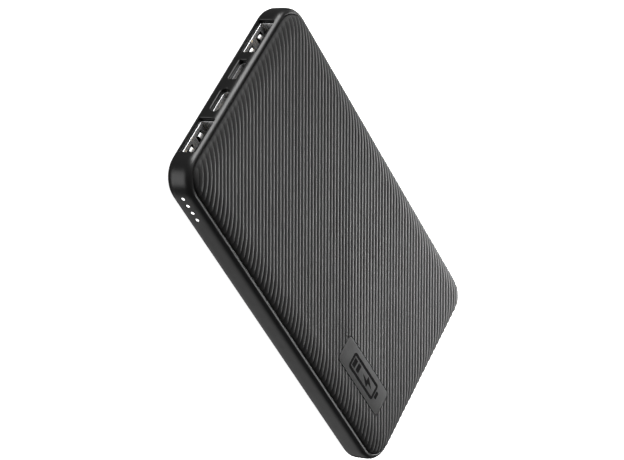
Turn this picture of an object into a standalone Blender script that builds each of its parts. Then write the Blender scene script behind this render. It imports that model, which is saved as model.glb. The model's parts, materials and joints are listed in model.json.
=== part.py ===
"""A slim pocket power bank: tray-shaped shell, pillow-topped cover, two pouch cells and a port board.

It lies on its back. +Z is up through the front cover, the ports are in the -Y end, the charge lights are in
the +X side and the button is in the -X side. The origin is on the back face, under the middle of the case.
"""

import math

import bmesh
import bpy
from mathutils import Matrix, Vector

MM = 0.001

# ---------------------------------------------------------------- driving sizes
WIDTH = 75.0 * MM
LENGTH = 140.5 * MM
THICKNESS = 12.6 * MM
CORNER_RADIUS = 9.2 * MM
CORNER_STEPS = 7

# rear shell
WALL = 1.7 * MM
FLOOR = 1.4 * MM
BACK_ROUND = 3.9 * MM
RIM_RUN = 1.55 * MM  # how far the rim's rounding reaches in from the outside
RIM_DROP = 2.7 * MM  # how far the rim's rounding reaches down the wall

# front cover
COVER_GAP = 0.35 * MM  # the parting groove between the rim and the cover
COVER_RISE = 2.6 * MM  # how far the cover's flat face stands above the rim
COVER_STEP = 0.4 * MM  # how far below the rim the cover's pillow begins
EDGE_RUN = 1.05 * MM  # the tight rounding along the cover's edge, part of an ellipse
EDGE_RISE = 1.95 * MM
EDGE_TURN = math.radians(78)  # where that ellipse passes into the crown's gentle slope
CROWN_RUN = 5.2 * MM  # how far in from the tight rounding the face becomes flat
ROUNDING_STEPS = 5
CROWN_STEPS = 4
HOLLOW_RUN = 5.4 * MM  # the rounding inside the cover
COVER_SKIN = 1.2 * MM
SKIRT_THICKNESS = 1.2 * MM
SKIRT_DEPTH = 2.0 * MM  # how far the skirt hangs below the pillow's edge

# name panel on the cover, left blank
PANEL_WIDTH = 9.5 * MM
PANEL_LENGTH = 30.2 * MM
PANEL_CORNER = 1.6 * MM
PANEL_FROM_SIDE = 10.4 * MM
PANEL_FROM_END = 15.8 * MM
PANEL_GROOVE = 0.35 * MM
PANEL_GROOVE_DEPTH = 0.3 * MM

# general clearances
CLEARANCE = 0.3 * MM
CONTACT_GAP = 0.2 * MM  # between pieces that lie on each other
OVERLAP = 0.5 * MM  # how far joined shapes run into each other
CUT_MARGIN = 1.0 * MM  # how far a cutter runs past what it cuts

# board
BOARD_THICKNESS = 1.2 * MM
BOARD_TOP = 4.9 * MM
BOARD_DEPTH = 18.0 * MM
BOARD_CLEARANCE = 0.35 * MM

# ports: spacing of each pair about the middle of the end wall
USB_A_OFFSET = 20.25 * MM
SMALL_PORT_OFFSET = 6.25 * MM
PORT_RECESS = 1.3 * MM  # from the outside of the wall to the mouth of every connector
PORT_CLEARANCE = 0.2 * MM
SHEET = 0.3 * MM  # thickness of the connectors' metal

USB_A_WIDTH = 13.15 * MM
USB_A_HEIGHT = 5.7 * MM
USB_A_LENGTH = 14.0 * MM
USB_A_BOTTOM = 3.1 * MM
USB_A_TONGUE = (11.1 * MM, 8.9 * MM, 1.84 * MM)
USB_A_TONGUE_RISE = 2.6 * MM  # from the floor of the opening to the contact face
USB_A_TONGUE_SETBACK = 1.05 * MM
USB_A_BLOCK = 3.0 * MM
USB_A_CONTACT = (1.0 * MM, 7.0 * MM, 0.25 * MM)
USB_A_CONTACT_PITCH = 2.3 * MM
SPRING_WIDTH = 1.9 * MM
SPRING_LENGTH = 5.0 * MM
SPRING_OFFSET = 2.9 * MM
SPRING_SETBACK = 1.35 * MM  # from the mouth to the window
SPRING_TIP_GAP = 0.5 * MM
SPRING_TILT = math.radians(5.0)

USB_C_WIDTH = 8.94 * MM
USB_C_HEIGHT = 3.16 * MM
USB_C_LENGTH = 7.35 * MM
USB_C_TONGUE = (6.69 * MM, 4.5 * MM, 0.7 * MM)

MICRO_WIDTH = 7.5 * MM
MICRO_HEIGHT = 2.6 * MM
MICRO_LENGTH = 5.6 * MM
MICRO_CHAMFER = 1.0 * MM
MICRO_TONGUE = (3.7 * MM, 3.4 * MM, 0.6 * MM)
PLUG_BLOCK = 1.8 * MM  # plastic that closes the rear of the two small connectors

# charge lights
LIGHT_COUNT = 4
LIGHT_PITCH = 3.05 * MM
LIGHT_FROM_END = 9.1 * MM
LIGHT_PIN_RADIUS = 0.6 * MM
LIGHT_PIN_CLEARANCE = 0.1 * MM
LIGHT_PIN_SHY = 0.1 * MM
LIGHT_BAR = (0.6 * MM, 1.6 * MM)
LED_SIZE = (0.8 * MM, 1.6 * MM, 0.8 * MM)
LED_AXIS = 0.4 * MM  # height of the lights and the button above what lies on the board

# button and its switch
BUTTON_FROM_END = 14.25 * MM
BUTTON_LENGTH = 10.0 * MM
BUTTON_TALL = 3.0 * MM
BUTTON_SHY = 0.1 * MM
BUTTON_FLANGE = 0.8 * MM
BUTTON_LIP = (1.0 * MM, 0.4 * MM)  # how far the flange stands out past the key's ends, and its sides
BUTTON_STEM = (2.4 * MM, 1.4 * MM)
BUTTON_FREE_PLAY = 0.15 * MM
SWITCH_BODY = (3.2 * MM, 4.5 * MM, 1.6 * MM)
PLUNGER = (1.8 * MM, 2.2 * MM, 1.0 * MM)
PLUNGER_OUT = 1.2 * MM  # how far the plunger stands out of the switch
PLUNGER_TRAVEL = 0.3 * MM
PLUNGER_CLEARANCE = 0.15 * MM
SWITCH_SETBACK = 0.3 * MM
BUTTON_NOTCH_DEPTH = 2.9 * MM

# cells
CELL_SIDE_GAP = 2.3 * MM  # from the cover's skirt
CELL_FRONT_GAP = 11.0 * MM  # from the board to the cells, for their seals and the protection board
CELL_EDGE_ROUND = 1.4 * MM
CELL_END_GAP = 2.4 * MM
SEAL_INSET = 3.5 * MM
SEAL_LENGTH = 4.5 * MM
SEAL_THICKNESS = 0.5 * MM
CELL_WALL = 1.2 * MM  # thickness of the shell's low wall under the seals
BACK_PAD = 0.3 * MM
MIDDLE_TAPE = 0.2 * MM
FRONT_PAD = (12.0 * MM, 0.3 * MM)  # length and thickness
PAD_INSET = 8.0 * MM
TAB = (5.0 * MM, 1.4 * MM, 0.25 * MM)
TAB_OFFSET = 12.0 * MM
TAB_FOLD = 1.4 * MM

# protection board, upright between the cells and the port board
GUARD_BOARD = (40.0 * MM, 0.8 * MM)  # width and thickness
GUARD_CLEARANCE = 1.0 * MM  # above and below the protection board
GUARD_CHIP = (3.0 * MM, 0.8 * MM, 3.0 * MM)
GUARD_CHIP_OFFSET = 4.0 * MM
LEAD_RADIUS = 0.75 * MM
LEAD_DROP = 1.9 * MM  # from the protection board's top to the leads
LEAD_REACH = 3.2 * MM  # how far the leads run over the port board

# screws and posts
SCREW_HEAD_RADIUS = 1.8 * MM
SCREW_HEAD_HEIGHT = 1.2 * MM
SCREW_RADIUS = 0.85 * MM
SCREW_LENGTH = 3.0 * MM
SCREW_CLEARANCE = 0.15 * MM
POST_RADIUS = 2.2 * MM
CORNER_SCREW_INSET = (6.9 * MM, 6.0 * MM)
MIDDLE_SCREW_SETBACK = 2.6 * MM
REST_POST_INSET = (9.5 * MM, 2.8 * MM)
ROUND_STEPS = 16

# snaps
HOOK_LENGTH = 5.0 * MM
HOOK_BITE = 0.4 * MM
HOOK_HEIGHT = 0.9 * MM
SIDE_HOOKS = 3
SIDE_HOOK_PITCH = 38.0 * MM
SIDE_HOOK_CENTRE = 14.0 * MM
END_HOOK_OFFSET = 16.0 * MM

# ---------------------------------------------------------------- derived places
HALF_WIDTH = WIDTH / 2
HALF_LENGTH = LENGTH / 2
RIM_HEIGHT = THICKNESS - COVER_RISE
COVER_EDGE = RIM_HEIGHT - COVER_STEP
INNER_HALF_WIDTH = HALF_WIDTH - WALL
INNER_HALF_LENGTH = HALF_LENGTH - WALL
COVER_INSET = WALL + COVER_GAP
COVER_WIDTH = WIDTH - 2 * COVER_INSET
COVER_LENGTH = LENGTH - 2 * COVER_INSET
COVER_CORNER = CORNER_RADIUS - COVER_INSET
HOLLOW_WIDTH = min(HOLLOW_RUN, COVER_CORNER - SKIRT_THICKNESS - CLEARANCE)
SKIRT_BOTTOM = COVER_EDGE - SKIRT_DEPTH
CEILING = THICKNESS - COVER_SKIN
BOARD_BOTTOM = BOARD_TOP - BOARD_THICKNESS
BOARD_FRONT = -INNER_HALF_LENGTH + BOARD_CLEARANCE
BOARD_BACK = BOARD_FRONT + BOARD_DEPTH
BOARD_HALF_WIDTH = INNER_HALF_WIDTH - 1.0 * MM
PORT_MOUTH = -HALF_LENGTH + PORT_RECESS
BUTTON_Y = -HALF_LENGTH + BUTTON_FROM_END
ON_BOARD = BOARD_TOP + CONTACT_GAP
LIGHT_HEIGHT = ON_BOARD + LED_AXIS
BUTTON_HEIGHT = ON_BOARD + LED_AXIS
CELL_WIDTH = COVER_WIDTH - 2 * (SKIRT_THICKNESS + CELL_SIDE_GAP)
CELL_BACK = COVER_LENGTH / 2 - SKIRT_THICKNESS - CELL_END_GAP
CELL_FRONT = BOARD_BACK + CELL_FRONT_GAP
CELL_LENGTH = CELL_BACK - CELL_FRONT
CELL_MIDDLE = (CELL_BACK + CELL_FRONT) / 2
STACK_GAPS = BACK_PAD + MIDDLE_TAPE + FRONT_PAD[1] + 6 * CONTACT_GAP
CELL_THICKNESS = (CEILING - FLOOR - STACK_GAPS) / 2
LOWER_CELL_BOTTOM = FLOOR + BACK_PAD + 2 * CONTACT_GAP
UPPER_CELL_BOTTOM = LOWER_CELL_BOTTOM + CELL_THICKNESS + MIDDLE_TAPE + 2 * CONTACT_GAP
SEAL_HALF = CELL_WIDTH / 2 - SEAL_INSET
SEAL_FRONT = CELL_FRONT - SEAL_LENGTH
GUARD_BACK = SEAL_FRONT - 2 * CONTACT_GAP - TAB[1]
GUARD_FRONT = GUARD_BACK - GUARD_BOARD[1]
GUARD_BOTTOM = FLOOR + GUARD_CLEARANCE
GUARD_TOP = CEILING - GUARD_CLEARANCE


# ---------------------------------------------------------------- materials
def material(name, colour, roughness, metallic=0.0, alpha=1.0):
    """A Principled material of one colour."""
    made = bpy.data.materials.new(name)
    made.use_nodes = True
    shader = made.node_tree.nodes["Principled BSDF"]
    shader.inputs["Base Color"].default_value = (*colour, 1.0)
    shader.inputs["Roughness"].default_value = roughness
    shader.inputs["Metallic"].default_value = metallic
    shader.inputs["Alpha"].default_value = alpha
    return made


# ---------------------------------------------------------------- shape helpers
def collection_named(name):
    """The collection of that name, made and linked when it is first asked for."""
    found = bpy.data.collections.get(name)
    if found is None:
        found = bpy.data.collections.new(name)
        bpy.context.scene.collection.children.link(found)
    return found


def to_object(bm, name, finish=None, turn=None, place=(0, 0, 0), group="power_bank"):
    """Writes the bmesh to a new object, after turning and placing its points."""
    if turn is not None:
        bmesh.ops.transform(bm, matrix=turn, verts=bm.verts)
    bmesh.ops.recalc_face_normals(bm, faces=bm.faces)
    mesh = bpy.data.meshes.new(name)
    bm.to_mesh(mesh)
    bm.free()
    made = bpy.data.objects.new(name, mesh)
    made.location = place
    if finish is not None:
        mesh.materials.append(finish)
    collection_named(group).objects.link(made)
    return made


def as_helper(obj):
    """Marks a cutter or a joined shape, which isn't a piece of its own."""
    obj.hide_render = True
    obj.display_type = "WIRE"
    return obj


def shade_round(obj, angle=40):
    """Shades a round piece smooth, apart from its real corners."""
    obj.data.shade_smooth()
    obj.data.set_sharp_from_angle(angle=math.radians(angle))
    return obj


def outline(bm, width, length, corner=0.0, steps=CORNER_STEPS):
    """A flat face in the XY plane: a rectangle about the origin, with round corners where corner isn't 0."""
    half_x, half_y = width / 2, length / 2
    corners = ((-half_x, -half_y), (half_x, -half_y), (half_x, half_y), (-half_x, half_y))
    face = bm.faces.new([bm.verts.new((x, y, 0)) for x, y in corners])
    if corner:
        bmesh.ops.bevel(
            bm, geom=bm.verts[:], offset=corner, segments=steps, profile=0.5, affect="VERTICES", material=-1
        )
        face = bm.faces[:][0]
    return face


def raise_face(bm, face, height):
    """Extrudes the face upwards, keeping its underside."""
    grown = bmesh.ops.extrude_face_region(bm, geom=[face], use_keep_orig=True)
    moved = [item for item in grown["geom"] if isinstance(item, bmesh.types.BMVert)]
    bmesh.ops.translate(bm, verts=moved, vec=(0, 0, height))


def slab(width, length, height, corner=0.0, steps=CORNER_STEPS):
    """A prism on the XY plane, with round corners where corner isn't 0."""
    bm = bmesh.new()
    raise_face(bm, outline(bm, width, length, corner, steps), height)
    return bm


def round_ring(bm, height, radius, steps):
    """Rounds the edges that lie at this height."""
    ring = [e for e in bm.edges if all(abs(v.co.z - height) < 1e-7 for v in e.verts)]
    bmesh.ops.bevel(
        bm, geom=ring, offset=radius, segments=steps, profile=0.5, affect="EDGES", material=-1
    )


def box_between(low, high, name, finish=None, group="power_bank"):
    """A box with these opposite corners."""
    low, high = Vector(low), Vector(high)
    size = high - low
    middle = (low + high) / 2
    bm = slab(size.x, size.y, size.z)
    return to_object(bm, name, finish, place=(middle.x, middle.y, low.z), group=group)


def disc(radius, height, steps=ROUND_STEPS):
    """A cylinder that stands on the XY plane."""
    bm = bmesh.new()
    bmesh.ops.create_cone(
        bm, cap_ends=True, segments=steps, radius1=radius, radius2=radius, depth=height
    )
    bmesh.ops.translate(bm, verts=bm.verts, vec=(0, 0, height / 2))
    return bm


def ellipse_steps(run, rise, turn=math.pi / 2):
    """Steps in and up from an edge along an ellipse, as far as this turn."""
    angles = [turn * step / ROUNDING_STEPS for step in range(1, ROUNDING_STEPS + 1)]
    return [(run * (1 - math.cos(angle)), rise * math.sin(angle)) for angle in angles]


def crown_steps(rise):
    """Steps up the cover: its tight edge first, then a slope that eases off to the flat face."""
    steps = ellipse_steps(EDGE_RUN, EDGE_RISE, EDGE_TURN)
    edge_run, edge_rise = steps[-1]
    crown_run = min(CROWN_RUN, COVER_CORNER - CLEARANCE - edge_run)  # the crown ends inside the corner's own
    for step in range(1, CROWN_STEPS + 1):
        share = step / CROWN_STEPS
        climb = (rise - edge_rise) * (1 - (1 - share) ** 2)
        steps.append((edge_run + crown_run * share, edge_rise + climb))
    return steps


def domed_slab(width, length, corner, bottom, edge, steps):
    """A slab whose top rises from its edge to a flat middle, by these steps in and up."""
    bm = slab(width, length, edge - bottom, corner)
    bmesh.ops.translate(bm, verts=bm.verts, vec=(0, 0, bottom))
    face = max(bm.faces, key=lambda f: f.calc_center_median().z)
    done_run = done_rise = 0.0
    for run, rise in steps:
        bmesh.ops.inset_region(bm, faces=[face], thickness=run - done_run, depth=0, use_even_offset=True)
        bmesh.ops.translate(bm, verts=face.verts, vec=(0, 0, rise - done_rise))
        done_run, done_rise = run, rise
    return bm


def boolean(target, operation, group):
    """Cuts or joins every object of a helper collection."""
    change = target.modifiers.new(group, "BOOLEAN")
    change.operation = operation
    change.operand_type = "COLLECTION"
    change.collection = collection_named(group)
    change.solver = "EXACT"


def upright(angle=90):
    """Turns a shape drawn in XY so that its height runs towards -Y and its length runs up."""
    return Matrix.Rotation(math.radians(angle), 4, "X")


def sideways():
    """Turns a shape drawn in XY so that its height runs towards +X and its width runs up."""
    return Matrix.Rotation(math.radians(90), 4, "Y")


# ---------------------------------------------------------------- casing
def screw_places():
    """Where the three board screws stand."""
    corner_x = HALF_WIDTH - CORNER_SCREW_INSET[0]
    corner_y = -HALF_LENGTH + CORNER_SCREW_INSET[1]
    return ((-corner_x, corner_y), (corner_x, corner_y), (0.0, BOARD_BACK - MIDDLE_SCREW_SETBACK))


def rest_places():
    """Where the board rests on plain posts."""
    rest_x = HALF_WIDTH - REST_POST_INSET[0]
    return ((-rest_x, BOARD_BACK - REST_POST_INSET[1]), (rest_x, BOARD_BACK - REST_POST_INSET[1]))


def hook_places():
    """The middle of each snap hook on the skirt's outer face, and the turn that points it outwards."""
    places = []
    for index in range(SIDE_HOOKS):
        along = SIDE_HOOK_CENTRE + (index - (SIDE_HOOKS - 1) / 2) * SIDE_HOOK_PITCH
        places.append((COVER_WIDTH / 2, along, 0))
        places.append((-COVER_WIDTH / 2, along, 180))
    for side in (-1, 1):
        places.append((side * END_HOOK_OFFSET, COVER_LENGTH / 2, 90))
    return places


def hook(length, bite, height, name, place, group, finish=None):
    """A wedge that stands out of a wall towards +X before it is turned, thick at its top."""
    bm = slab(COVER_GAP + bite + OVERLAP, length, height)
    outer = [v for v in bm.verts if v.co.x > 0 and v.co.z < height / 2]
    bmesh.ops.translate(bm, verts=outer, vec=(-bite, 0, 0))
    bmesh.ops.translate(bm, verts=bm.verts, vec=((COVER_GAP + bite - OVERLAP) / 2, 0, 0))
    x, y, degrees = place
    made = to_object(bm, name, finish, Matrix.Rotation(math.radians(degrees), 4, "Z"), group=group)
    made.location = (x, y, SKIRT_BOTTOM + CLEARANCE)
    return made


def port_opening(name, x, width, height, bottom, corner):
    """A cutter through the end wall for one port."""
    depth = WALL + 2 * CUT_MARGIN
    bm = slab(width + 2 * PORT_CLEARANCE, height + 2 * PORT_CLEARANCE, depth, corner, 4)
    place = (x, -HALF_LENGTH - CUT_MARGIN + depth, bottom + height / 2)
    as_helper(to_object(bm, name, turn=upright(), place=place, group="shell_cutters"))


def make_shell_additions():
    """Posts for the board and a low wall between the board and the cells, joined to the shell's floor."""
    for index, (x, y) in enumerate((*screw_places(), *rest_places())):
        height = BOARD_BOTTOM - CONTACT_GAP - FLOOR + OVERLAP
        post = to_object(
            disc(POST_RADIUS, height), f"post_{index}", place=(x, y, FLOOR - OVERLAP), group="shell_additions"
        )
        as_helper(post)
    wall_middle = SEAL_FRONT + SEAL_LENGTH / 2
    wall_top = LOWER_CELL_BOTTOM + (CELL_THICKNESS - SEAL_THICKNESS) / 2 - CLEARANCE
    wall = box_between(
        (-SEAL_HALF, wall_middle - CELL_WALL / 2, FLOOR - OVERLAP),
        (SEAL_HALF, wall_middle + CELL_WALL / 2, wall_top),
        "cell_wall",
        group="shell_additions",
    )
    as_helper(wall)


def make_shell_cutters():
    """Everything cut from the shell: ports, light holes, the button's slot, screw holes and hook pockets."""
    port_opening("cut_usb_a_1", -USB_A_OFFSET, USB_A_WIDTH, USB_A_HEIGHT, USB_A_BOTTOM, 0.6 * MM)
    port_opening("cut_usb_a_2", USB_A_OFFSET, USB_A_WIDTH, USB_A_HEIGHT, USB_A_BOTTOM, 0.6 * MM)
    c_round = USB_C_HEIGHT / 2 + 0.9 * PORT_CLEARANCE
    port_opening("cut_usb_c", SMALL_PORT_OFFSET, USB_C_WIDTH, USB_C_HEIGHT, ON_BOARD, c_round)
    port_opening("cut_micro", -SMALL_PORT_OFFSET, MICRO_WIDTH, MICRO_HEIGHT, ON_BOARD, 0.5 * MM)
    through = WALL + 2 * CUT_MARGIN
    for index in range(LIGHT_COUNT):
        bm = disc(LIGHT_PIN_RADIUS + LIGHT_PIN_CLEARANCE, through)
        place = (INNER_HALF_WIDTH - CUT_MARGIN, light_y(index), LIGHT_HEIGHT)
        as_helper(to_object(bm, f"cut_light_{index}", turn=sideways(), place=place, group="shell_cutters"))
    slot_tall = BUTTON_TALL + 2 * CLEARANCE
    bm = slab(slot_tall, BUTTON_LENGTH + 2 * CLEARANCE, through, 0.49 * slot_tall, 5)
    place = (-HALF_WIDTH - CUT_MARGIN, BUTTON_Y, BUTTON_HEIGHT)
    as_helper(to_object(bm, "cut_button", turn=sideways(), place=place, group="shell_cutters"))
    for index, (x, y) in enumerate(screw_places()):
        bm = disc(SCREW_RADIUS + SCREW_CLEARANCE, BOARD_BOTTOM)
        as_helper(
            to_object(bm, f"cut_screw_{index}", place=(x, y, FLOOR - CONTACT_GAP), group="shell_cutters")
        )
    for index, place in enumerate(hook_places()):
        length, bite = HOOK_LENGTH + 2 * CLEARANCE, HOOK_BITE + CLEARANCE
        pocket = hook(length, bite, HOOK_HEIGHT, f"cut_hook_{index}", place, "shell_cutters")
        for vertex in pocket.data.vertices:
            vertex.co.z += CLEARANCE if vertex.co.z > HOOK_HEIGHT / 2 else -CLEARANCE
        as_helper(pocket)


def make_rear_shell(finish):
    """The tray: floor, side walls and the rounded rim that frames the cover."""
    rounding = ellipse_steps(RIM_RUN, RIM_DROP)
    bm = domed_slab(WIDTH, LENGTH, CORNER_RADIUS, 0.0, RIM_HEIGHT - RIM_DROP, rounding)
    round_ring(bm, 0.0, BACK_ROUND, 5)
    shell = to_object(bm, "rear_shell", finish)
    cavity = slab(2 * INNER_HALF_WIDTH, 2 * INNER_HALF_LENGTH, RIM_HEIGHT, CORNER_RADIUS - WALL)
    round_ring(cavity, 0.0, BACK_ROUND - FLOOR, 3)
    as_helper(to_object(cavity, "shell_hollow", place=(0, 0, FLOOR), group="shell_hollow"))
    make_shell_additions()
    make_shell_cutters()
    boolean(shell, "DIFFERENCE", "shell_hollow")
    boolean(shell, "UNION", "shell_additions")
    boolean(shell, "DIFFERENCE", "shell_cutters")
    return shade_round(shell)


def panel_middle():
    """The middle of the blank name panel."""
    return (
        HALF_WIDTH - PANEL_FROM_SIDE - PANEL_WIDTH / 2,
        HALF_LENGTH - PANEL_FROM_END - PANEL_LENGTH / 2,
    )


def make_cover_cutters():
    """The cover's hollow, its relief over the connectors and the fine groove round the name panel."""
    hollow_edge = COVER_EDGE - COVER_SKIN / 2
    hollow = domed_slab(
        COVER_WIDTH - 2 * SKIRT_THICKNESS,
        COVER_LENGTH - 2 * SKIRT_THICKNESS,
        COVER_CORNER - SKIRT_THICKNESS,
        SKIRT_BOTTOM - CUT_MARGIN,
        hollow_edge,
        ellipse_steps(HOLLOW_WIDTH, CEILING - hollow_edge),
    )
    as_helper(to_object(hollow, "cover_hollow", group="cover_hollow"))
    port_span = USB_A_OFFSET + USB_A_WIDTH / 2 + CLEARANCE
    relief = box_between(
        (-port_span, -HALF_LENGTH, SKIRT_BOTTOM - CUT_MARGIN),
        (port_span, BOARD_BACK, USB_A_BOTTOM + USB_A_HEIGHT + CLEARANCE),
        "cut_connectors",
        group="cover_cutters",
    )
    as_helper(relief)
    x, y = panel_middle()
    groove_width = PANEL_WIDTH + 2 * PANEL_GROOVE
    groove_length = PANEL_LENGTH + 2 * PANEL_GROOVE
    bm = slab(groove_width, groove_length, PANEL_GROOVE_DEPTH + CUT_MARGIN, PANEL_CORNER + PANEL_GROOVE, 3)
    ring = to_object(bm, "cut_panel", place=(x, y, THICKNESS - PANEL_GROOVE_DEPTH), group="cover_cutters")
    as_helper(ring)
    core = slab(PANEL_WIDTH, PANEL_LENGTH, PANEL_GROOVE_DEPTH + 4 * CUT_MARGIN, PANEL_CORNER, 3)
    place = (x, y, THICKNESS - PANEL_GROOVE_DEPTH - 2 * CUT_MARGIN)
    as_helper(to_object(core, "panel_core", place=place, group="panel_core"))
    boolean(ring, "DIFFERENCE", "panel_core")


def make_front_cover(finish):
    """The pillow-topped cover with its skirt and snap hooks."""
    steps = crown_steps(THICKNESS - COVER_EDGE)
    bm = domed_slab(COVER_WIDTH, COVER_LENGTH, COVER_CORNER, SKIRT_BOTTOM, COVER_EDGE, steps)
    cover = to_object(bm, "front_cover", finish)
    for index, place in enumerate(hook_places()):
        as_helper(hook(HOOK_LENGTH, HOOK_BITE, HOOK_HEIGHT, f"hook_{index}", place, "cover_hooks"))
    make_cover_cutters()
    boolean(cover, "DIFFERENCE", "cover_hollow")
    boolean(cover, "UNION", "cover_hooks")
    boolean(cover, "DIFFERENCE", "cover_cutters")
    return shade_round(cover, 30)


# ---------------------------------------------------------------- lights and button
def light_y(index):
    """The Y of one charge light."""
    return -HALF_LENGTH + LIGHT_FROM_END + index * LIGHT_PITCH


def make_lights(clear, lamp):
    """Four LEDs on the board's edge and the clear guide that brings their light through the wall."""
    bar_back = INNER_HALF_WIDTH - CONTACT_GAP - LIGHT_BAR[0]
    half_bar = LIGHT_BAR[1] / 2
    guide = box_between(
        (bar_back, light_y(0) - half_bar, LIGHT_HEIGHT - half_bar),
        (bar_back + LIGHT_BAR[0], light_y(LIGHT_COUNT - 1) + half_bar, LIGHT_HEIGHT + half_bar),
        "light_guide",
        clear,
    )
    pin_length = HALF_WIDTH - LIGHT_PIN_SHY - bar_back - LIGHT_BAR[0] / 2
    for index in range(LIGHT_COUNT):
        place = (bar_back + LIGHT_BAR[0] / 2, light_y(index), LIGHT_HEIGHT)
        bm = disc(LIGHT_PIN_RADIUS, pin_length)
        as_helper(to_object(bm, f"guide_pin_{index}", turn=sideways(), place=place, group="guide_pins"))
        led_front = bar_back - 3 * CONTACT_GAP
        low = (led_front - LED_SIZE[0], light_y(index) - LED_SIZE[1] / 2, ON_BOARD)
        high = (led_front, light_y(index) + LED_SIZE[1] / 2, ON_BOARD + LED_SIZE[2])
        box_between(low, high, f"level_led_{index + 1}", lamp)
    boolean(guide, "UNION", "guide_pins")
    shade_round(guide)


def make_button(plastic):
    """The button's cap: a round-ended key, a flange that stops it falling out and a stem for the switch."""
    outer = -HALF_WIDTH + BUTTON_SHY
    flange_outer = -INNER_HALF_WIDTH + CLEARANCE
    flange_inner = flange_outer + BUTTON_FLANGE
    bm = slab(BUTTON_TALL, BUTTON_LENGTH, flange_outer - outer + OVERLAP, 0.49 * BUTTON_TALL, 5)
    place = (outer, BUTTON_Y, BUTTON_HEIGHT)
    cap = to_object(bm, "button_cap", plastic, turn=sideways(), place=place)
    half_long, half_tall = BUTTON_LENGTH / 2 + BUTTON_LIP[0], BUTTON_TALL / 2 + BUTTON_LIP[1]
    flange = box_between(
        (flange_outer, BUTTON_Y - half_long, BUTTON_HEIGHT - half_tall),
        (flange_inner, BUTTON_Y + half_long, BUTTON_HEIGHT + half_tall),
        "button_flange",
        group="button_parts",
    )
    stem_tip = plunger_tip() - BUTTON_FREE_PLAY
    stem = box_between(
        (flange_inner - OVERLAP, BUTTON_Y - BUTTON_STEM[0] / 2, plunger_height() - BUTTON_STEM[1] / 2),
        (stem_tip, BUTTON_Y + BUTTON_STEM[0] / 2, plunger_height() + BUTTON_STEM[1] / 2),
        "button_stem",
        group="button_parts",
    )
    as_helper(flange)
    as_helper(stem)
    boolean(cap, "UNION", "button_parts")
    shade_round(cap)


def switch_front():
    """The X of the switch's face, which the plunger comes out of."""
    return -BOARD_HALF_WIDTH + BUTTON_NOTCH_DEPTH + SWITCH_SETBACK


def plunger_tip():
    """The X of the plunger's outer end."""
    return switch_front() - PLUNGER_OUT


def plunger_height():
    """The Z of the plunger's axis."""
    return ON_BOARD + SWITCH_BODY[2] / 2


def make_switch(body_finish, plunger_finish):
    """The side-press switch at the edge of the board, and its plunger."""
    front = switch_front()
    body = box_between(
        (front, BUTTON_Y - SWITCH_BODY[1] / 2, ON_BOARD),
        (front + SWITCH_BODY[0], BUTTON_Y + SWITCH_BODY[1] / 2, ON_BOARD + SWITCH_BODY[2]),
        "switch_body",
        body_finish,
    )
    half_wide = PLUNGER[1] / 2 + PLUNGER_CLEARANCE
    half_tall = PLUNGER[2] / 2 + PLUNGER_CLEARANCE
    pocket_end = plunger_tip() + PLUNGER[0] + PLUNGER_TRAVEL + PLUNGER_CLEARANCE
    pocket = box_between(
        (front - CUT_MARGIN, BUTTON_Y - half_wide, plunger_height() - half_tall),
        (pocket_end, BUTTON_Y + half_wide, plunger_height() + half_tall),
        "switch_pocket",
        group="switch_pocket",
    )
    as_helper(pocket)
    boolean(body, "DIFFERENCE", "switch_pocket")
    box_between(
        (plunger_tip(), BUTTON_Y - PLUNGER[1] / 2, plunger_height() - PLUNGER[2] / 2),
        (plunger_tip() + PLUNGER[0], BUTTON_Y + PLUNGER[1] / 2, plunger_height() + PLUNGER[2] / 2),
        "switch_plunger",
        plunger_finish,
    )


# ---------------------------------------------------------------- board and connectors
def make_board(finish):
    """The port board, notched for the USB-A connectors and the button, with screw holes."""
    bm = slab(2 * BOARD_HALF_WIDTH, BOARD_DEPTH, BOARD_THICKNESS, 0.0)
    front_corners = [e for e in bm.edges if all(v.co.y < 0 for v in e.verts) and is_upright(e)]
    bmesh.ops.bevel(
        bm,
        geom=front_corners,
        offset=CORNER_RADIUS - WALL,
        segments=5,
        profile=0.5,
        affect="EDGES",
        material=-1,
    )
    place = (0, (BOARD_FRONT + BOARD_BACK) / 2, BOARD_BOTTOM)
    board = to_object(bm, "main_board", finish, place=place)
    below, above = BOARD_BOTTOM - CUT_MARGIN, BOARD_TOP + CUT_MARGIN
    half_port = USB_A_WIDTH / 2 + PORT_CLEARANCE
    for side in (-1, 1):
        notch = box_between(
            (side * USB_A_OFFSET - half_port, BOARD_FRONT - CUT_MARGIN, below),
            (side * USB_A_OFFSET + half_port, PORT_MOUTH + USB_A_LENGTH + PORT_CLEARANCE, above),
            f"cut_usb_a_notch_{side}",
            group="board_cutters",
        )
        as_helper(notch)
    notch_inner = -BOARD_HALF_WIDTH + BUTTON_NOTCH_DEPTH
    button_notch = box_between(
        (-BOARD_HALF_WIDTH - CUT_MARGIN, BUTTON_Y - BUTTON_LENGTH / 2 - BUTTON_LIP[0] - CLEARANCE, below),
        (notch_inner, BOARD_BACK + CUT_MARGIN, above),
        "cut_button_notch",
        group="board_cutters",
    )
    as_helper(button_notch)
    for index, (x, y) in enumerate(screw_places()):
        bm = disc(SCREW_RADIUS + 2 * SCREW_CLEARANCE, above - below)
        as_helper(to_object(bm, f"cut_board_screw_{index}", place=(x, y, below), group="board_cutters"))
    boolean(board, "DIFFERENCE", "board_cutters")


def is_upright(edge):
    """Whether an edge runs along Z."""
    low, high = edge.verts
    return abs(low.co.x - high.co.x) < 1e-9 and abs(low.co.y - high.co.y) < 1e-9


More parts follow.
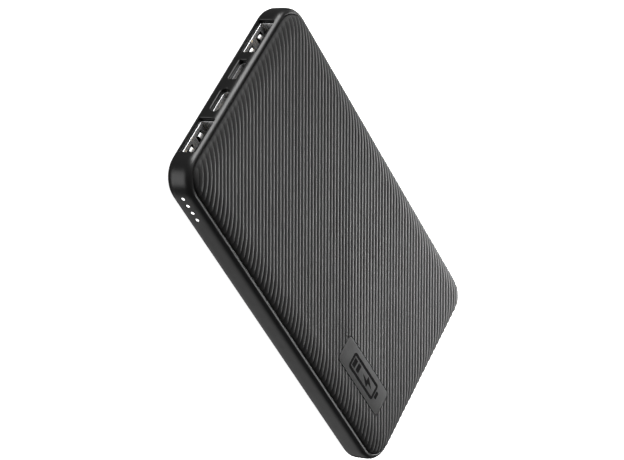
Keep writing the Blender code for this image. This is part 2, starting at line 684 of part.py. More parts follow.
def make_screws(steel):
    """The screws that hold the board to its posts."""
    for index, (x, y) in enumerate(screw_places()):
        head_bottom = BOARD_TOP + CONTACT_GAP
        bm = disc(SCREW_HEAD_RADIUS, SCREW_HEAD_HEIGHT)
        round_ring(bm, SCREW_HEAD_HEIGHT, 0.4 * MM, 2)
        name = f"board_screw_{index + 1}"
        screw = to_object(bm, name, steel, place=(x, y, head_bottom))
        shank = disc(SCREW_RADIUS, SCREW_LENGTH + OVERLAP, 12)
        place = (x, y, head_bottom - SCREW_LENGTH)
        as_helper(to_object(shank, f"shank_{index}", place=place, group=f"{name}_shank"))
        boolean(screw, "UNION", f"{name}_shank")
        shade_round(screw)


def tube_shell(name, finish, x, bottom, width, height, length, corner, steps=4):
    """A connector's folded metal shell: a tube along Y, open at both ends."""
    outer = slab(width, height, length, corner, steps)
    place = (x, PORT_MOUTH + length, bottom + height / 2)
    shell = to_object(outer, name, finish, turn=upright(), place=place)
    inner_corner = max(corner - SHEET, 0.0)
    inner = slab(width - 2 * SHEET, height - 2 * SHEET, length + 2 * CUT_MARGIN, inner_corner, steps)
    place = (x, PORT_MOUTH + length + CUT_MARGIN, bottom + height / 2)
    as_helper(to_object(inner, f"{name}_bore", turn=upright(), place=place, group=f"{name}_bore"))
    boolean(shell, "DIFFERENCE", f"{name}_bore")
    return shade_round(shell)


def add_springs(shell, x):
    """Cuts the retention windows of a USB-A shell, and joins the tilted spring finger in each."""
    name = shell.name
    window_width = SPRING_WIDTH + 2 * CLEARANCE
    window_front = PORT_MOUTH + SPRING_SETBACK
    window_back = window_front + SPRING_TIP_GAP + SPRING_LENGTH
    for face, inner_z in ((1, USB_A_BOTTOM + SHEET), (-1, USB_A_BOTTOM + USB_A_HEIGHT - SHEET)):
        for side in (-1, 1):
            middle = x + side * SPRING_OFFSET
            sheet_low = min(inner_z, inner_z - face * SHEET)
            window = box_between(
                (middle - window_width / 2, window_front, sheet_low - CUT_MARGIN / 2),
                (middle + window_width / 2, window_back, sheet_low + SHEET + CUT_MARGIN / 2),
                f"{name}_window_{face}_{side}",
                group=f"{name}_windows",
            )
            as_helper(window)
            bm = slab(SPRING_WIDTH, SPRING_LENGTH, SHEET)
            bmesh.ops.translate(bm, verts=bm.verts, vec=(0, -SPRING_LENGTH / 2, -SHEET / 2))
            turn = Matrix.Rotation(-face * SPRING_TILT, 4, "X")
            place = (middle, window_back + 0.4 * SHEET, sheet_low + SHEET / 2)
            finger = f"{name}_finger_{face}_{side}"
            as_helper(to_object(bm, finger, turn=turn, place=place, group=f"{name}_fingers"))
    boolean(shell, "DIFFERENCE", f"{name}_windows")
    boolean(shell, "UNION", f"{name}_fingers")


def make_usb_a(number, x, steel, plastic, gold):
    """One USB-A connector: shell with springs, insulator with its tongue, and four contacts."""
    shell = tube_shell(
        f"usb_a_shell_{number}", steel, x, USB_A_BOTTOM, USB_A_WIDTH, USB_A_HEIGHT, USB_A_LENGTH, 0.5 * MM, 2
    )
    add_springs(shell, x)
    inner_low = USB_A_BOTTOM + SHEET
    inner_high = USB_A_BOTTOM + USB_A_HEIGHT - SHEET
    half_block = USB_A_WIDTH / 2 - SHEET - CONTACT_GAP
    block_back = PORT_MOUTH + USB_A_LENGTH - CONTACT_GAP
    tongue = box_between(
        (x - half_block, block_back - USB_A_BLOCK, inner_low + CONTACT_GAP),
        (x + half_block, block_back, inner_high - CONTACT_GAP),
        f"usb_a_tongue_{number}",
        plastic,
    )
    blade_low = inner_low + USB_A_TONGUE_RISE
    blade = box_between(
        (x - USB_A_TONGUE[0] / 2, PORT_MOUTH + USB_A_TONGUE_SETBACK, blade_low),
        (x + USB_A_TONGUE[0] / 2, block_back - USB_A_BLOCK + OVERLAP, blade_low + USB_A_TONGUE[2]),
        f"usb_a_blade_{number}",
        group=f"usb_a_blade_{number}",
    )
    as_helper(blade)
    boolean(tongue, "UNION", f"usb_a_blade_{number}")
    contact_front = PORT_MOUTH + USB_A_TONGUE_SETBACK + 0.6 * MM
    contact_top = blade_low - CONTACT_GAP / 2
    for index in range(4):
        middle = x + (index - 1.5) * USB_A_CONTACT_PITCH
        box_between(
            (middle - USB_A_CONTACT[0] / 2, contact_front, contact_top - USB_A_CONTACT[2]),
            (middle + USB_A_CONTACT[0] / 2, contact_front + USB_A_CONTACT[1], contact_top),
            f"usb_a_contact_{number}_{index + 1}",
            gold,
        )


def plugged_tongue(name, finish, x, bottom, width, height, length, corner, blade_size):
    """The plastic of a small connector: a block that closes its rear and a thin blade."""
    inset = SHEET + CONTACT_GAP
    bm = slab(width - 2 * inset, height - 2 * inset, PLUG_BLOCK, max(corner - inset, 0.0), 4)
    middle_z = bottom + height / 2
    place = (x, PORT_MOUTH + length - CONTACT_GAP, middle_z)
    block = to_object(bm, name, finish, turn=upright(), place=place)
    blade_back = PORT_MOUTH + length - CONTACT_GAP - PLUG_BLOCK + OVERLAP
    blade = box_between(
        (x - blade_size[0] / 2, blade_back - OVERLAP - blade_size[1], middle_z - blade_size[2] / 2),
        (x + blade_size[0] / 2, blade_back, middle_z + blade_size[2] / 2),
        f"{name}_blade",
        group=f"{name}_blade",
    )
    as_helper(blade)
    boolean(block, "UNION", f"{name}_blade")


def make_usb_c(steel, plastic):
    """The USB-C connector."""
    sizes = (SMALL_PORT_OFFSET, ON_BOARD, USB_C_WIDTH, USB_C_HEIGHT, USB_C_LENGTH)
    corner = 0.49 * USB_C_HEIGHT
    tube_shell("usb_c_shell", steel, *sizes, corner)
    plugged_tongue("usb_c_tongue", plastic, *sizes, corner, USB_C_TONGUE)


def micro_outline(width, height, length, chamfer):
    """A prism with the connector's six-sided outline: two chamfers next to the board."""
    bm = bmesh.new()
    raise_face(bm, outline(bm, width, height), length)
    lower = [e for e in bm.edges if is_upright(e) and e.verts[0].co.y < 0]
    bmesh.ops.bevel(bm, geom=lower, offset=chamfer, segments=1, affect="EDGES", profile=0.5, material=-1)
    return bm


def make_micro_usb(steel, plastic):
    """The micro-USB connector."""
    x, bottom, middle = -SMALL_PORT_OFFSET, ON_BOARD, ON_BOARD + MICRO_HEIGHT / 2
    outer = micro_outline(MICRO_WIDTH, MICRO_HEIGHT, MICRO_LENGTH, MICRO_CHAMFER)
    place = (x, PORT_MOUTH + MICRO_LENGTH, middle)
    shell = to_object(outer, "micro_usb_shell", steel, turn=upright(), place=place)
    bore = micro_outline(
        MICRO_WIDTH - 2 * SHEET, MICRO_HEIGHT - 2 * SHEET, MICRO_LENGTH + 2 * CUT_MARGIN, 0.8 * MICRO_CHAMFER
    )
    place = (x, PORT_MOUTH + MICRO_LENGTH + CUT_MARGIN, middle)
    as_helper(to_object(bore, "micro_bore", turn=upright(), place=place, group="micro_bore"))
    boolean(shell, "DIFFERENCE", "micro_bore")
    inset = SHEET + CONTACT_GAP
    block = micro_outline(
        MICRO_WIDTH - 2 * inset, MICRO_HEIGHT - 2 * inset, PLUG_BLOCK, 0.8 * MICRO_CHAMFER
    )
    place = (x, PORT_MOUTH + MICRO_LENGTH - CONTACT_GAP, middle)
    tongue = to_object(block, "micro_usb_tongue", plastic, turn=upright(), place=place)
    blade_back = PORT_MOUTH + MICRO_LENGTH - CONTACT_GAP - PLUG_BLOCK + OVERLAP
    blade_high = bottom + MICRO_HEIGHT - inset - CLEARANCE
    blade = box_between(
        (x - MICRO_TONGUE[0] / 2, blade_back - OVERLAP - MICRO_TONGUE[1], blade_high - MICRO_TONGUE[2]),
        (x + MICRO_TONGUE[0] / 2, blade_back, blade_high),
        "micro_blade",
        group="micro_blade",
    )
    as_helper(blade)
    boolean(tongue, "UNION", "micro_blade")


def chip(name, finish, x, y, size, edge=0.0):
    """A component that lies on the board."""
    bm = slab(*size)
    if edge:
        round_ring(bm, size[2], edge, 2)
    to_object(bm, name, finish, place=(x, y, ON_BOARD))


def make_components(black, ferrite, tan):
    """The power parts on the board, between and behind the connectors."""
    row = BOARD_FRONT + 11.2 * MM
    coil_size = (6.6 * MM, 6.6 * MM, 3.0 * MM)
    chip("power_inductor", ferrite, SMALL_PORT_OFFSET, row + 1.0 * MM, coil_size, 0.6 * MM)
    chip("charge_chip", black, -SMALL_PORT_OFFSET, row, (5.0 * MM, 5.0 * MM, 0.9 * MM))
    chip("output_chip", black, 0.0, BOARD_FRONT + 4.0 * MM, (2.2 * MM, 2.6 * MM, 0.9 * MM))
    for index, x in enumerate((-11.4 * MM, 0.0)):
        chip(f"capacitor_{index + 1}", tan, x, row + 0.5 * MM, (1.6 * MM, 3.2 * MM, 1.6 * MM))


# ---------------------------------------------------------------- cells
def make_cell(name, finish, bottom):
    """One pouch cell: a soft-edged slab and the flat seal at its tab end."""
    bm = slab(CELL_WIDTH, CELL_LENGTH, CELL_THICKNESS, 2.0 * MM, 3)
    round_ring(bm, 0.0, CELL_EDGE_ROUND, 2)
    round_ring(bm, CELL_THICKNESS, CELL_EDGE_ROUND, 2)
    cell = to_object(bm, name, finish, place=(0, CELL_MIDDLE, bottom))
    middle = bottom + CELL_THICKNESS / 2
    seal = box_between(
        (-SEAL_HALF, SEAL_FRONT, middle - SEAL_THICKNESS / 2),
        (SEAL_HALF, CELL_FRONT + OVERLAP, middle + SEAL_THICKNESS / 2),
        f"{name}_seal",
        group=f"{name}_seal",
    )
    as_helper(seal)
    boolean(cell, "UNION", f"{name}_seal")
    shade_round(cell)


def make_tab(name, finish, x, bottom, fold):
    """A cell's metal tab, which leaves the seal and is folded up or down against the protection board."""
    middle = bottom + CELL_THICKNESS / 2
    back = SEAL_FRONT - CONTACT_GAP
    tab = box_between(
        (x - TAB[0] / 2, back - TAB[1], middle - TAB[2] / 2),
        (x + TAB[0] / 2, back, middle + TAB[2] / 2),
        name,
        finish,
    )
    ends = sorted((middle - fold * TAB[2] / 2, middle + fold * TAB_FOLD))
    leg = box_between(
        (x - TAB[0] / 2, back - TAB[1], ends[0]),
        (x + TAB[0] / 2, back - TAB[1] + TAB[2], ends[1]),
        f"{name}_leg",
        group=f"{name}_leg",
    )
    as_helper(leg)
    boolean(tab, "UNION", f"{name}_leg")


def make_cells(pouch, foam, nickel):
    """Two cells in parallel, taped to each other and to the shell, with foam against the cover."""
    for name, bottom, fold in (("cell_lower", LOWER_CELL_BOTTOM, 1), ("cell_upper", UPPER_CELL_BOTTOM, -1)):
        make_cell(name, pouch, bottom)
        make_tab(f"{name}_tab_plus", nickel, TAB_OFFSET, bottom, fold)
        make_tab(f"{name}_tab_minus", nickel, -TAB_OFFSET, bottom, fold)
    half_x, half_y = CELL_WIDTH / 2 - PAD_INSET, CELL_LENGTH / 2 - PAD_INSET
    pad_bottom = FLOOR + CONTACT_GAP
    tape_bottom = LOWER_CELL_BOTTOM + CELL_THICKNESS + CONTACT_GAP
    for name, bottom, thickness in (
        ("back_pad", pad_bottom, BACK_PAD),
        ("middle_tape", tape_bottom, MIDDLE_TAPE),
    ):
        low = (-half_x, CELL_MIDDLE - half_y, bottom)
        box_between(low, (half_x, CELL_MIDDLE + half_y, bottom + thickness), name, foam)
    pad_bottom = UPPER_CELL_BOTTOM + CELL_THICKNESS + CONTACT_GAP
    for index, side in enumerate((-1, 1)):
        y = CELL_MIDDLE + side * (half_y - FRONT_PAD[0])
        bm = slab(2 * half_x, *FRONT_PAD)
        to_object(bm, f"front_pad_{index + 1}", foam, place=(0, y, pad_bottom))


def make_lead(name, finish, x):
    """An insulated lead from the protection board over to the port board."""
    start = Vector((x, GUARD_FRONT - CONTACT_GAP, GUARD_TOP - LEAD_DROP))
    end = Vector((x, BOARD_BACK - LEAD_REACH, ON_BOARD + LEAD_RADIUS))
    reach = Vector((0, -1.2 * MM, 0))
    points = [bezier(start, start + reach, end - reach, end, step / 8) for step in range(9)]
    curve = bpy.data.curves.new(name, "CURVE")
    curve.dimensions = "3D"
    curve.bevel_depth = LEAD_RADIUS
    curve.bevel_resolution = 2
    curve.use_fill_caps = True
    curve.materials.append(finish)
    line = curve.splines.new("POLY")
    line.points.add(len(points) - 1)
    for point, place in zip(line.points, points):
        point.co = (*place, 1.0)
    collection_named("power_bank").objects.link(bpy.data.objects.new(name, curve))


def bezier(start, leave, arrive, end, share):
    """The point at this share of a cubic curve."""
    rest = 1 - share
    return (
        start * rest**3 + leave * 3 * rest**2 * share + arrive * 3 * rest * share**2 + end * share**3
    )


def make_guard(board, black, red_wire, black_wire):
    """The cells' protection board, its two transistors and the leads to the port board."""
    half = GUARD_BOARD[0] / 2
    box_between(
        (-half, GUARD_FRONT, GUARD_BOTTOM),
        (half, GUARD_BACK, GUARD_TOP),
        "protection_board",
        board,
    )
    chip_low = GUARD_BOTTOM + 1.0 * MM
    for index, side in enumerate((-1, 1)):
        x = side * GUARD_CHIP_OFFSET
        box_between(
            (x - GUARD_CHIP[0] / 2, GUARD_FRONT - CONTACT_GAP - GUARD_CHIP[1], chip_low),
            (x + GUARD_CHIP[0] / 2, GUARD_FRONT - CONTACT_GAP, chip_low + GUARD_CHIP[2]),
            f"protection_chip_{index + 1}",
            black,
        )
    make_lead("lead_red", red_wire, TAB_OFFSET)
    make_lead("lead_black", black_wire, -TAB_OFFSET)


def main():
    for obj in list(bpy.data.objects):
        bpy.data.objects.remove(obj)
    case = material("case_plastic", (0.035, 0.035, 0.036), 0.45)
    ribbed = material("cover_plastic", (0.055, 0.055, 0.057), 0.4)
    steel = material("connector_steel", (0.62, 0.62, 0.64), 0.3, 1.0)
    screw_steel = material("screw_steel", (0.5, 0.5, 0.52), 0.35, 1.0)
    insulator = material("insulator", (0.02, 0.02, 0.02), 0.5)
    gold = material("contact_gold", (0.83, 0.62, 0.27), 0.25, 1.0)
    nickel = material("nickel", (0.6, 0.58, 0.54), 0.3, 1.0)
    clear = material("clear_guide", (0.9, 0.92, 0.95), 0.15, alpha=0.5)
    lamp = material("led_body", (0.9, 0.9, 0.82), 0.4)
    board = material("circuit_board", (0.01, 0.12, 0.05), 0.4)
    epoxy = material("chip_epoxy", (0.015, 0.015, 0.016), 0.5)
    ferrite = material("ferrite", (0.09, 0.09, 0.09), 0.7)
    ceramic = material("ceramic", (0.45, 0.32, 0.2), 0.5)
    pouch = material("cell_pouch", (0.55, 0.56, 0.58), 0.35, 0.8)
    foam = material("foam_tape", (0.1, 0.1, 0.1), 0.9)
    red_wire = material("red_wire", (0.6, 0.02, 0.02), 0.4)
    black_wire = material("black_wire", (0.01, 0.01, 0.01), 0.4)

    make_rear_shell(case)
    make_front_cover(ribbed)
    make_lights(clear, lamp)
    make_button(case)
    make_switch(epoxy, case)
    make_board(board)
    make_screws(screw_steel)
    make_usb_a(1, -USB_A_OFFSET, steel, insulator, gold)
    make_usb_a(2, USB_A_OFFSET, steel, insulator, gold)
    make_usb_c(steel, insulator)
    make_micro_usb(steel, insulator)
    make_components(epoxy, ferrite, ceramic)
    make_cells(pouch, foam, nickel)
    make_guard(board, epoxy, red_wire, black_wire)


main()
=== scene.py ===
"""Studio scene of the pocket power bank.

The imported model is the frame. The visible pieces are modelled here in finer detail, in metres, in the same
place: +Z out through the ribbed cover, the ports in the -Y end, the charge lights in the +X side and the
button in the -X side.
"""

import json
import math

import bmesh
import bpy
from mathutils import Matrix, Vector


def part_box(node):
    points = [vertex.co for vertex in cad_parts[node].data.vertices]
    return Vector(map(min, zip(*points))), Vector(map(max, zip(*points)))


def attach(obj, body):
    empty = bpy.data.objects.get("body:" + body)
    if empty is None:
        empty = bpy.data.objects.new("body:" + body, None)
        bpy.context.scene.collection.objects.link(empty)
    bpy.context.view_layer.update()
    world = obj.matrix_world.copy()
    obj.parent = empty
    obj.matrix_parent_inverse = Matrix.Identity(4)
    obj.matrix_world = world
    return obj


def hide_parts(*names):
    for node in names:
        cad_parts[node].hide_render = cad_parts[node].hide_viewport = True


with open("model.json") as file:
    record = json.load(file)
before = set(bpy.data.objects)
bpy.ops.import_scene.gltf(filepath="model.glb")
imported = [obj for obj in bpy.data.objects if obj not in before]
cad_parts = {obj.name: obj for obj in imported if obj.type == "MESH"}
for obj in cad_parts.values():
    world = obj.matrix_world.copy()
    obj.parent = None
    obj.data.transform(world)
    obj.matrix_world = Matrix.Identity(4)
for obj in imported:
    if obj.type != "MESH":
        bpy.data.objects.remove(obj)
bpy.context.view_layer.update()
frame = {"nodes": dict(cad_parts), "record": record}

MM = 0.001

# ---------------------------------------------------------------- the case, from the frame
shell_low, shell_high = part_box("rear_shell")
cover_low, cover_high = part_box("front_cover")
CASE_WIDTH = shell_high.x - shell_low.x
CASE_LENGTH = shell_high.y - shell_low.y
RIM_TOP = shell_high.z
FACE_TOP = cover_high.z
SKIRT_BOTTOM = cover_low.z
PORT_END = shell_low.y

CORNER_RADIUS = 9.2 * MM
CORNER_STEPS = 16
WALL = 1.7 * MM
FLOOR_THICKNESS = 1.4 * MM
BACK_ROUND = 3.9 * MM
RIM_RUN = 1.55 * MM
RIM_DROP = 2.7 * MM
RIM_FILLET = 0.13 * MM
RIM_STEPS = 10
EDGE_BREAK = 0.14 * MM

PARTING_GAP = 0.35 * MM
COVER_STEP = 0.4 * MM  # how far the cover's edge sits below the rim
EDGE_RUN = 1.05 * MM  # the cover's tight edge: part of an ellipse, this far in and up
EDGE_RISE = 1.95 * MM
EDGE_TURN = math.radians(78)
EDGE_STEPS = 6
CROWN_RUN = 5.2 * MM  # how far in from the tight edge the face becomes flat
CROWN_STEPS = 9
HOLLOW_RUN = 5.4 * MM
HOLLOW_STEPS = 4
COVER_SKIN = 1.2 * MM
RELIEF_GAP = 0.3 * MM  # between the cover's skirt and the connectors that it is cut away for
COVER_WIDTH = CASE_WIDTH - 2 * (WALL + PARTING_GAP)
COVER_LENGTH = CASE_LENGTH - 2 * (WALL + PARTING_GAP)
COVER_CORNER = CORNER_RADIUS - WALL - PARTING_GAP
COVER_EDGE = RIM_TOP - COVER_STEP

RIB_PITCH = 1.661 * MM
RIB_DEPTH = 0.45 * MM
RIB_PHASE = -0.24 * MM  # from the middle of the case to the nearest valley
RIB_KNOTS = (0.0, 0.13, 0.28, 0.5, 0.72, 0.87)  # where each rib is cut, in shares of the pitch
RIB_FULL = 1.3 * MM  # how far below the face the ribs begin to fade
RIB_GONE = 2.6 * MM  # and how far below it they end
RIB_ROUNDNESS = 0.85  # below 1 the crests are broad and the valleys narrow

PANEL_WIDTH = 9.5 * MM
PANEL_LENGTH = 30.2 * MM
PANEL_CORNER = 1.6 * MM
PANEL_FROM_SIDE = 10.4 * MM
PANEL_FROM_END = 15.8 * MM
PANEL_GAP = 0.14 * MM
PANEL_DEPTH = 0.6 * MM
PANEL_SHY = 0.05 * MM  # how far the panel stays below the crests

SHEET = 0.3 * MM
PORT_CLEARANCE = 0.2 * MM


# ---------------------------------------------------------------- modelling helpers
def plate(width, length, corner=0.0, steps=CORNER_STEPS):
    """A bmesh of one flat face about the origin, with its corners rounded."""
    bm = bmesh.new()
    bmesh.ops.create_grid(bm, x_segments=1, y_segments=1, size=0.5)
    bmesh.ops.scale(bm, vec=(width, length, 1), verts=bm.verts)
    if corner:
        bmesh.ops.bevel(
            bm, geom=bm.verts[:], offset=corner, segments=steps, profile=0.5, affect="VERTICES", material=-1
        )
    return bm


def moved_verts(made):
    """The vertices in an operator's result."""
    return [item for item in made["geom"] if isinstance(item, bmesh.types.BMVert)]


def thicken(bm, height):
    """Extrudes every face of the bmesh upwards."""
    made = bmesh.ops.extrude_face_region(bm, geom=bm.faces[:], use_keep_orig=True)
    bmesh.ops.translate(bm, verts=moved_verts(made), vec=(0, 0, height))


def slab(width, length, height, corner=0.0, steps=CORNER_STEPS):
    """A prism that stands on the XY plane."""
    bm = plate(width, length, corner, steps)
    thicken(bm, height)
    return bm


def edges_at(bm, height):
    """The edges that lie flat at this height."""
    return [e for e in bm.edges if all(abs(v.co.z - height) < 1e-7 for v in e.verts)]


def soften(bm, edges, radius, steps):
    """Rounds these edges."""
    bmesh.ops.bevel(
        bm, geom=edges, offset=radius, segments=steps, profile=0.5, affect="EDGES", material=-1
    )


def faces_towards(bm, axis, least=0.99):
    """The faces that look along this direction."""
    bm.normal_update()
    return [f for f in bm.faces if f.normal.dot(axis) > least]


def turned(bm, matrix):
    """Moves the whole bmesh by this matrix, and returns it."""
    bmesh.ops.transform(bm, matrix=matrix, verts=bm.verts)
    return bm


def facing_port_end(x, y, z):
    """Lays a shape drawn in XY against the port end: its height runs to -Y and its length runs up."""
    return Matrix.Translation((x, y, z)) @ Matrix.Rotation(math.radians(90), 4, "X")


def facing_light_side(x, y, z):
    """Lays a shape drawn in XY against the light side: its height runs to +X and its width runs down."""
    return Matrix.Translation((x, y, z)) @ Matrix.Rotation(math.radians(90), 4, "Y")


def facing_button_side(x, y, z):
    """Lays a shape drawn in XY against the button side: its height runs to -X and its width runs up."""
    return Matrix.Translation((x, y, z)) @ Matrix.Rotation(math.radians(-90), 4, "Y")


def merged(*parts):
    """One bmesh that holds all of these."""
    whole = bmesh.new()
    for part in parts:
        carrier = bpy.data.meshes.new("carrier")
        part.to_mesh(carrier)
        part.free()
        whole.from_mesh(carrier)
        bpy.data.meshes.remove(carrier)
    return whole


def finished(bm, name, material, body="case", sharp=35):
    """Writes the bmesh to a new piece with this material, riding on a body of the frame."""
    bmesh.ops.recalc_face_normals(bm, faces=bm.faces)
    mesh = bpy.data.meshes.new(name)
    bm.to_mesh(mesh)
    bm.free()
    mesh.materials.append(material)
    piece = bpy.data.objects.new(name, mesh)
    bpy.context.scene.collection.objects.link(piece)
    mesh.shade_smooth()
    mesh.set_sharp_from_angle(angle=math.radians(sharp))
    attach(piece, body)
    return piece


def carve(piece, cutter_bm, sharp=35):
    """Cuts the closed shapes of the bmesh out of a piece, for good."""
    bmesh.ops.recalc_face_normals(cutter_bm, faces=cutter_bm.faces)
    mesh = bpy.data.meshes.new("cutter")
    cutter_bm.to_mesh(mesh)
    cutter_bm.free()
    cutter = bpy.data.objects.new("cutter", mesh)
    bpy.context.scene.collection.objects.link(cutter)
    cut = piece.modifiers.new("cut", "BOOLEAN")
    cut.operation = "DIFFERENCE"
    cut.solver = "EXACT"
    cut.object = cutter
    graph = bpy.context.evaluated_depsgraph_get()
    carved = bpy.data.meshes.new_from_object(piece.evaluated_get(graph))
    piece.modifiers.clear()
    plain = piece.data
    piece.data = carved
    bpy.data.meshes.remove(plain)
    bpy.data.objects.remove(cutter)
    bpy.data.meshes.remove(mesh)
    carved.name = piece.name
    carved.shade_smooth()
    carved.set_sharp_from_angle(angle=math.radians(sharp))
    return piece


# ---------------------------------------------------------------- materials
SPARK_GRAIN = 0.09 * MM


class Finish:
    """A material being put together: its shader and the pattern nodes that feed it."""

    def __init__(self, name, colour, roughness, metallic=0.0):
        self.material = bpy.data.materials.new(name)
        self.material.use_nodes = True
        self.tree = self.material.node_tree
        self.shader = self.tree.nodes["Principled BSDF"]
        self.shader.inputs["Base Color"].default_value = (*colour, 1.0)
        self.shader.inputs["Roughness"].default_value = roughness
        self.shader.inputs["Metallic"].default_value = metallic
        self.place = self.node("ShaderNodeTexCoord").outputs["Object"]

    def node(self, kind, **settings):
        made = self.tree.nodes.new(kind)
        for key, value in settings.items():
            setattr(made, key, value)
        return made

    def link(self, source, target):
        self.tree.links.new(source, target)

    def noise(self, size, detail=2.0, stretch=(1, 1, 1)):
        """Cloudy noise whose features are about this size."""
        made = self.node("ShaderNodeTexNoise")
        made.inputs["Scale"].default_value = 1.0 / size
        made.inputs["Detail"].default_value = detail
        if stretch == (1, 1, 1):
            self.link(self.place, made.inputs["Vector"])
        else:
            mapping = self.node("ShaderNodeMapping")
            mapping.inputs["Scale"].default_value = stretch
            self.link(self.place, mapping.inputs["Vector"])
            self.link(mapping.outputs["Vector"], made.inputs["Vector"])
        return made.outputs["Fac"]

    def spread(self, source, low, high, start=0.3, end=0.7):
        """Carries a 0 to 1 pattern over to the range from low to high."""
        made = self.node("ShaderNodeMapRange")
        made.inputs["From Min"].default_value = start
        made.inputs["From Max"].default_value = end
        made.inputs["To Min"].default_value = low
        made.inputs["To Max"].default_value = high
        self.link(source, made.inputs["Value"])
        return made.outputs["Result"]

    def tint(self, source, dark, light, start=0.3, end=0.7):
        """Colours the base from dark to light along a pattern."""
        ramp = self.node("ShaderNodeValToRGB")
        ramp.color_ramp.elements[0].position = start
        ramp.color_ramp.elements[0].color = (*dark, 1.0)
        ramp.color_ramp.elements[1].position = end
        ramp.color_ramp.elements[1].color = (*light, 1.0)
        self.link(source, ramp.inputs["Fac"])
        self.link(ramp.outputs["Color"], self.shader.inputs["Base Color"])
        return self

    def rough(self, source, low, high):
        """Varies the roughness along a pattern."""
        self.link(self.spread(source, low, high), self.shader.inputs["Roughness"])
        return self

    def relief(self, source, height):
        """Raises the surface along a pattern, by up to this height."""
        bump = self.node("ShaderNodeBump")
        bump.inputs["Distance"].default_value = height
        bump.inputs["Strength"].default_value = 1.0
        self.link(source, bump.inputs["Height"])
        self.link(bump.outputs["Normal"], self.shader.inputs["Normal"])
        return self


def moulded_plastic(name, dark, light, rough_low, rough_high, height=0.004 * MM, specular=0.5):
    """Spark-textured matte plastic: a fine grain, faint clouds of tone and small changes of gloss."""
    finish = Finish(name, light, (rough_low + rough_high) / 2)
    finish.tint(finish.noise(14 * MM, 3.0), dark, light)
    finish.rough(finish.noise(3.0 * MM, 4.0), rough_low, rough_high)
    finish.relief(finish.noise(SPARK_GRAIN, 3.0), height)
    finish.shader.inputs["Specular IOR Level"].default_value = specular
    return finish.material


def plated_steel(name, colour, rough_low, rough_high, brushed=(1, 1, 1)):
    """Rolled and plated sheet, with fine lines along the way it was rolled."""
    finish = Finish(name, colour, (rough_low + rough_high) / 2, 0.75)
    finish.rough(finish.noise(0.8 * MM, 4.0, brushed), rough_low, rough_high)
    finish.relief(finish.noise(0.3 * MM, 1.0, brushed), 0.0003 * MM)
    return finish.material


def gold_flash():
    finish = Finish("contact_gold", (0.76, 0.64, 0.42), 0.25, 1.0)
    finish.rough(finish.noise(0.6 * MM, 3.0), 0.18, 0.34)
    finish.tint(finish.noise(1.5 * MM), (0.70, 0.58, 0.36), (0.82, 0.70, 0.47))
    return finish.material


def lit_guide(reach):
    """Clear plastic that glows white where it comes through the wall, up to this X."""
    finish = Finish("lit_guide", (0.9, 0.93, 0.97), 0.2)
    split = finish.node("ShaderNodeSeparateXYZ")
    finish.link(finish.place, split.inputs["Vector"])
    glow = finish.node("ShaderNodeMapRange")
    glow.inputs["From Min"].default_value = reach - GLOW_FADE
    glow.inputs["From Max"].default_value = reach
    glow.inputs["To Max"].default_value = LIGHT_STRENGTH
    finish.link(split.outputs["X"], glow.inputs["Value"])
    finish.shader.inputs["Emission Color"].default_value = (1.0, 1.0, 1.0, 1.0)
    finish.link(glow.outputs["Result"], finish.shader.inputs["Emission Strength"])
    finish.rough(finish.noise(0.3 * MM), 0.15, 0.3)
    return finish.material


def solder_mask():
    finish = Finish("circuit_board", (0.012, 0.12, 0.05), 0.35)
    finish.tint(finish.noise(1.1 * MM, 3.0), (0.006, 0.07, 0.03), (0.02, 0.17, 0.07), 0.45, 0.55)
    finish.relief(finish.noise(0.5 * MM, 1.0), 0.01 * MM)
    return finish.material


def pouch_foil():
    finish = Finish("cell_pouch", (0.6, 0.61, 0.63), 0.32, 0.85)
    finish.rough(finish.noise(6 * MM, 4.0), 0.24, 0.42)
    finish.relief(finish.noise(9 * MM, 4.0), 0.15 * MM)
    return finish.material


def soft_foam():
    finish = Finish("foam_tape", (0.08, 0.08, 0.08), 0.95)
    finish.tint(finish.noise(0.35 * MM, 4.0), (0.03, 0.03, 0.03), (0.12, 0.12, 0.12))
    finish.relief(finish.noise(0.3 * MM, 4.0), 0.06 * MM)
    return finish.material


def wire_skin(name, dark, light):
    finish = Finish(name, light, 0.4)
    finish.tint(finish.noise(1.5 * MM), dark, light)
    finish.rough(finish.noise(0.8 * MM), 0.35, 0.5)
    return finish.material


def pressed_powder(name, dark, light, roughness=0.75):
    finish = Finish(name, light, roughness)
    finish.tint(finish.noise(0.12 * MM, 3.0), dark, light)
    finish.relief(finish.noise(0.1 * MM, 3.0), 0.01 * MM)
    return finish.material


LIGHT_STRENGTH = 2.2
GLOW_FADE = 1.2 * MM
GLOW_INSET = 0.4 * MM

CASE_PLASTIC = moulded_plastic("case_plastic", (0.010, 0.010, 0.010), (0.014, 0.014, 0.014), 0.3, 0.36)
COVER_PLASTIC = moulded_plastic(
    "cover_plastic",
    (0.038, 0.038, 0.038),
    (0.043, 0.043, 0.043),
    0.56,
    0.62,
    height=0.0012 * MM,
    specular=0.2,
)
# Same plastic as the cover, given a darker colour as painted shade, so that the smooth panel reads darker
# than the ribs around it.
PANEL_PLASTIC_PAINTED_SHADE = moulded_plastic(
    "panel_plastic_painted_shade", (0.015, 0.015, 0.015), (0.018, 0.018, 0.018), 0.62, 0.7, specular=0.15
)
BUTTON_PLASTIC = moulded_plastic("button_plastic", (0.034, 0.034, 0.034), (0.042, 0.042, 0.042), 0.34, 0.42)
INSULATOR_PLASTIC = moulded_plastic("insulator", (0.014, 0.014, 0.014), (0.022, 0.022, 0.022), 0.4, 0.55)
EPOXY = moulded_plastic("chip_epoxy", (0.012, 0.012, 0.013), (0.02, 0.02, 0.021), 0.45, 0.6)
MARK_INK = moulded_plastic(
    "mark_ink", (0.002, 0.002, 0.002), (0.003, 0.003, 0.003), 0.8, 0.9, specular=0.03
)
PORT_STEEL = plated_steel("connector_steel", (0.74, 0.74, 0.75), 0.2, 0.32, (1, 0.15, 1))
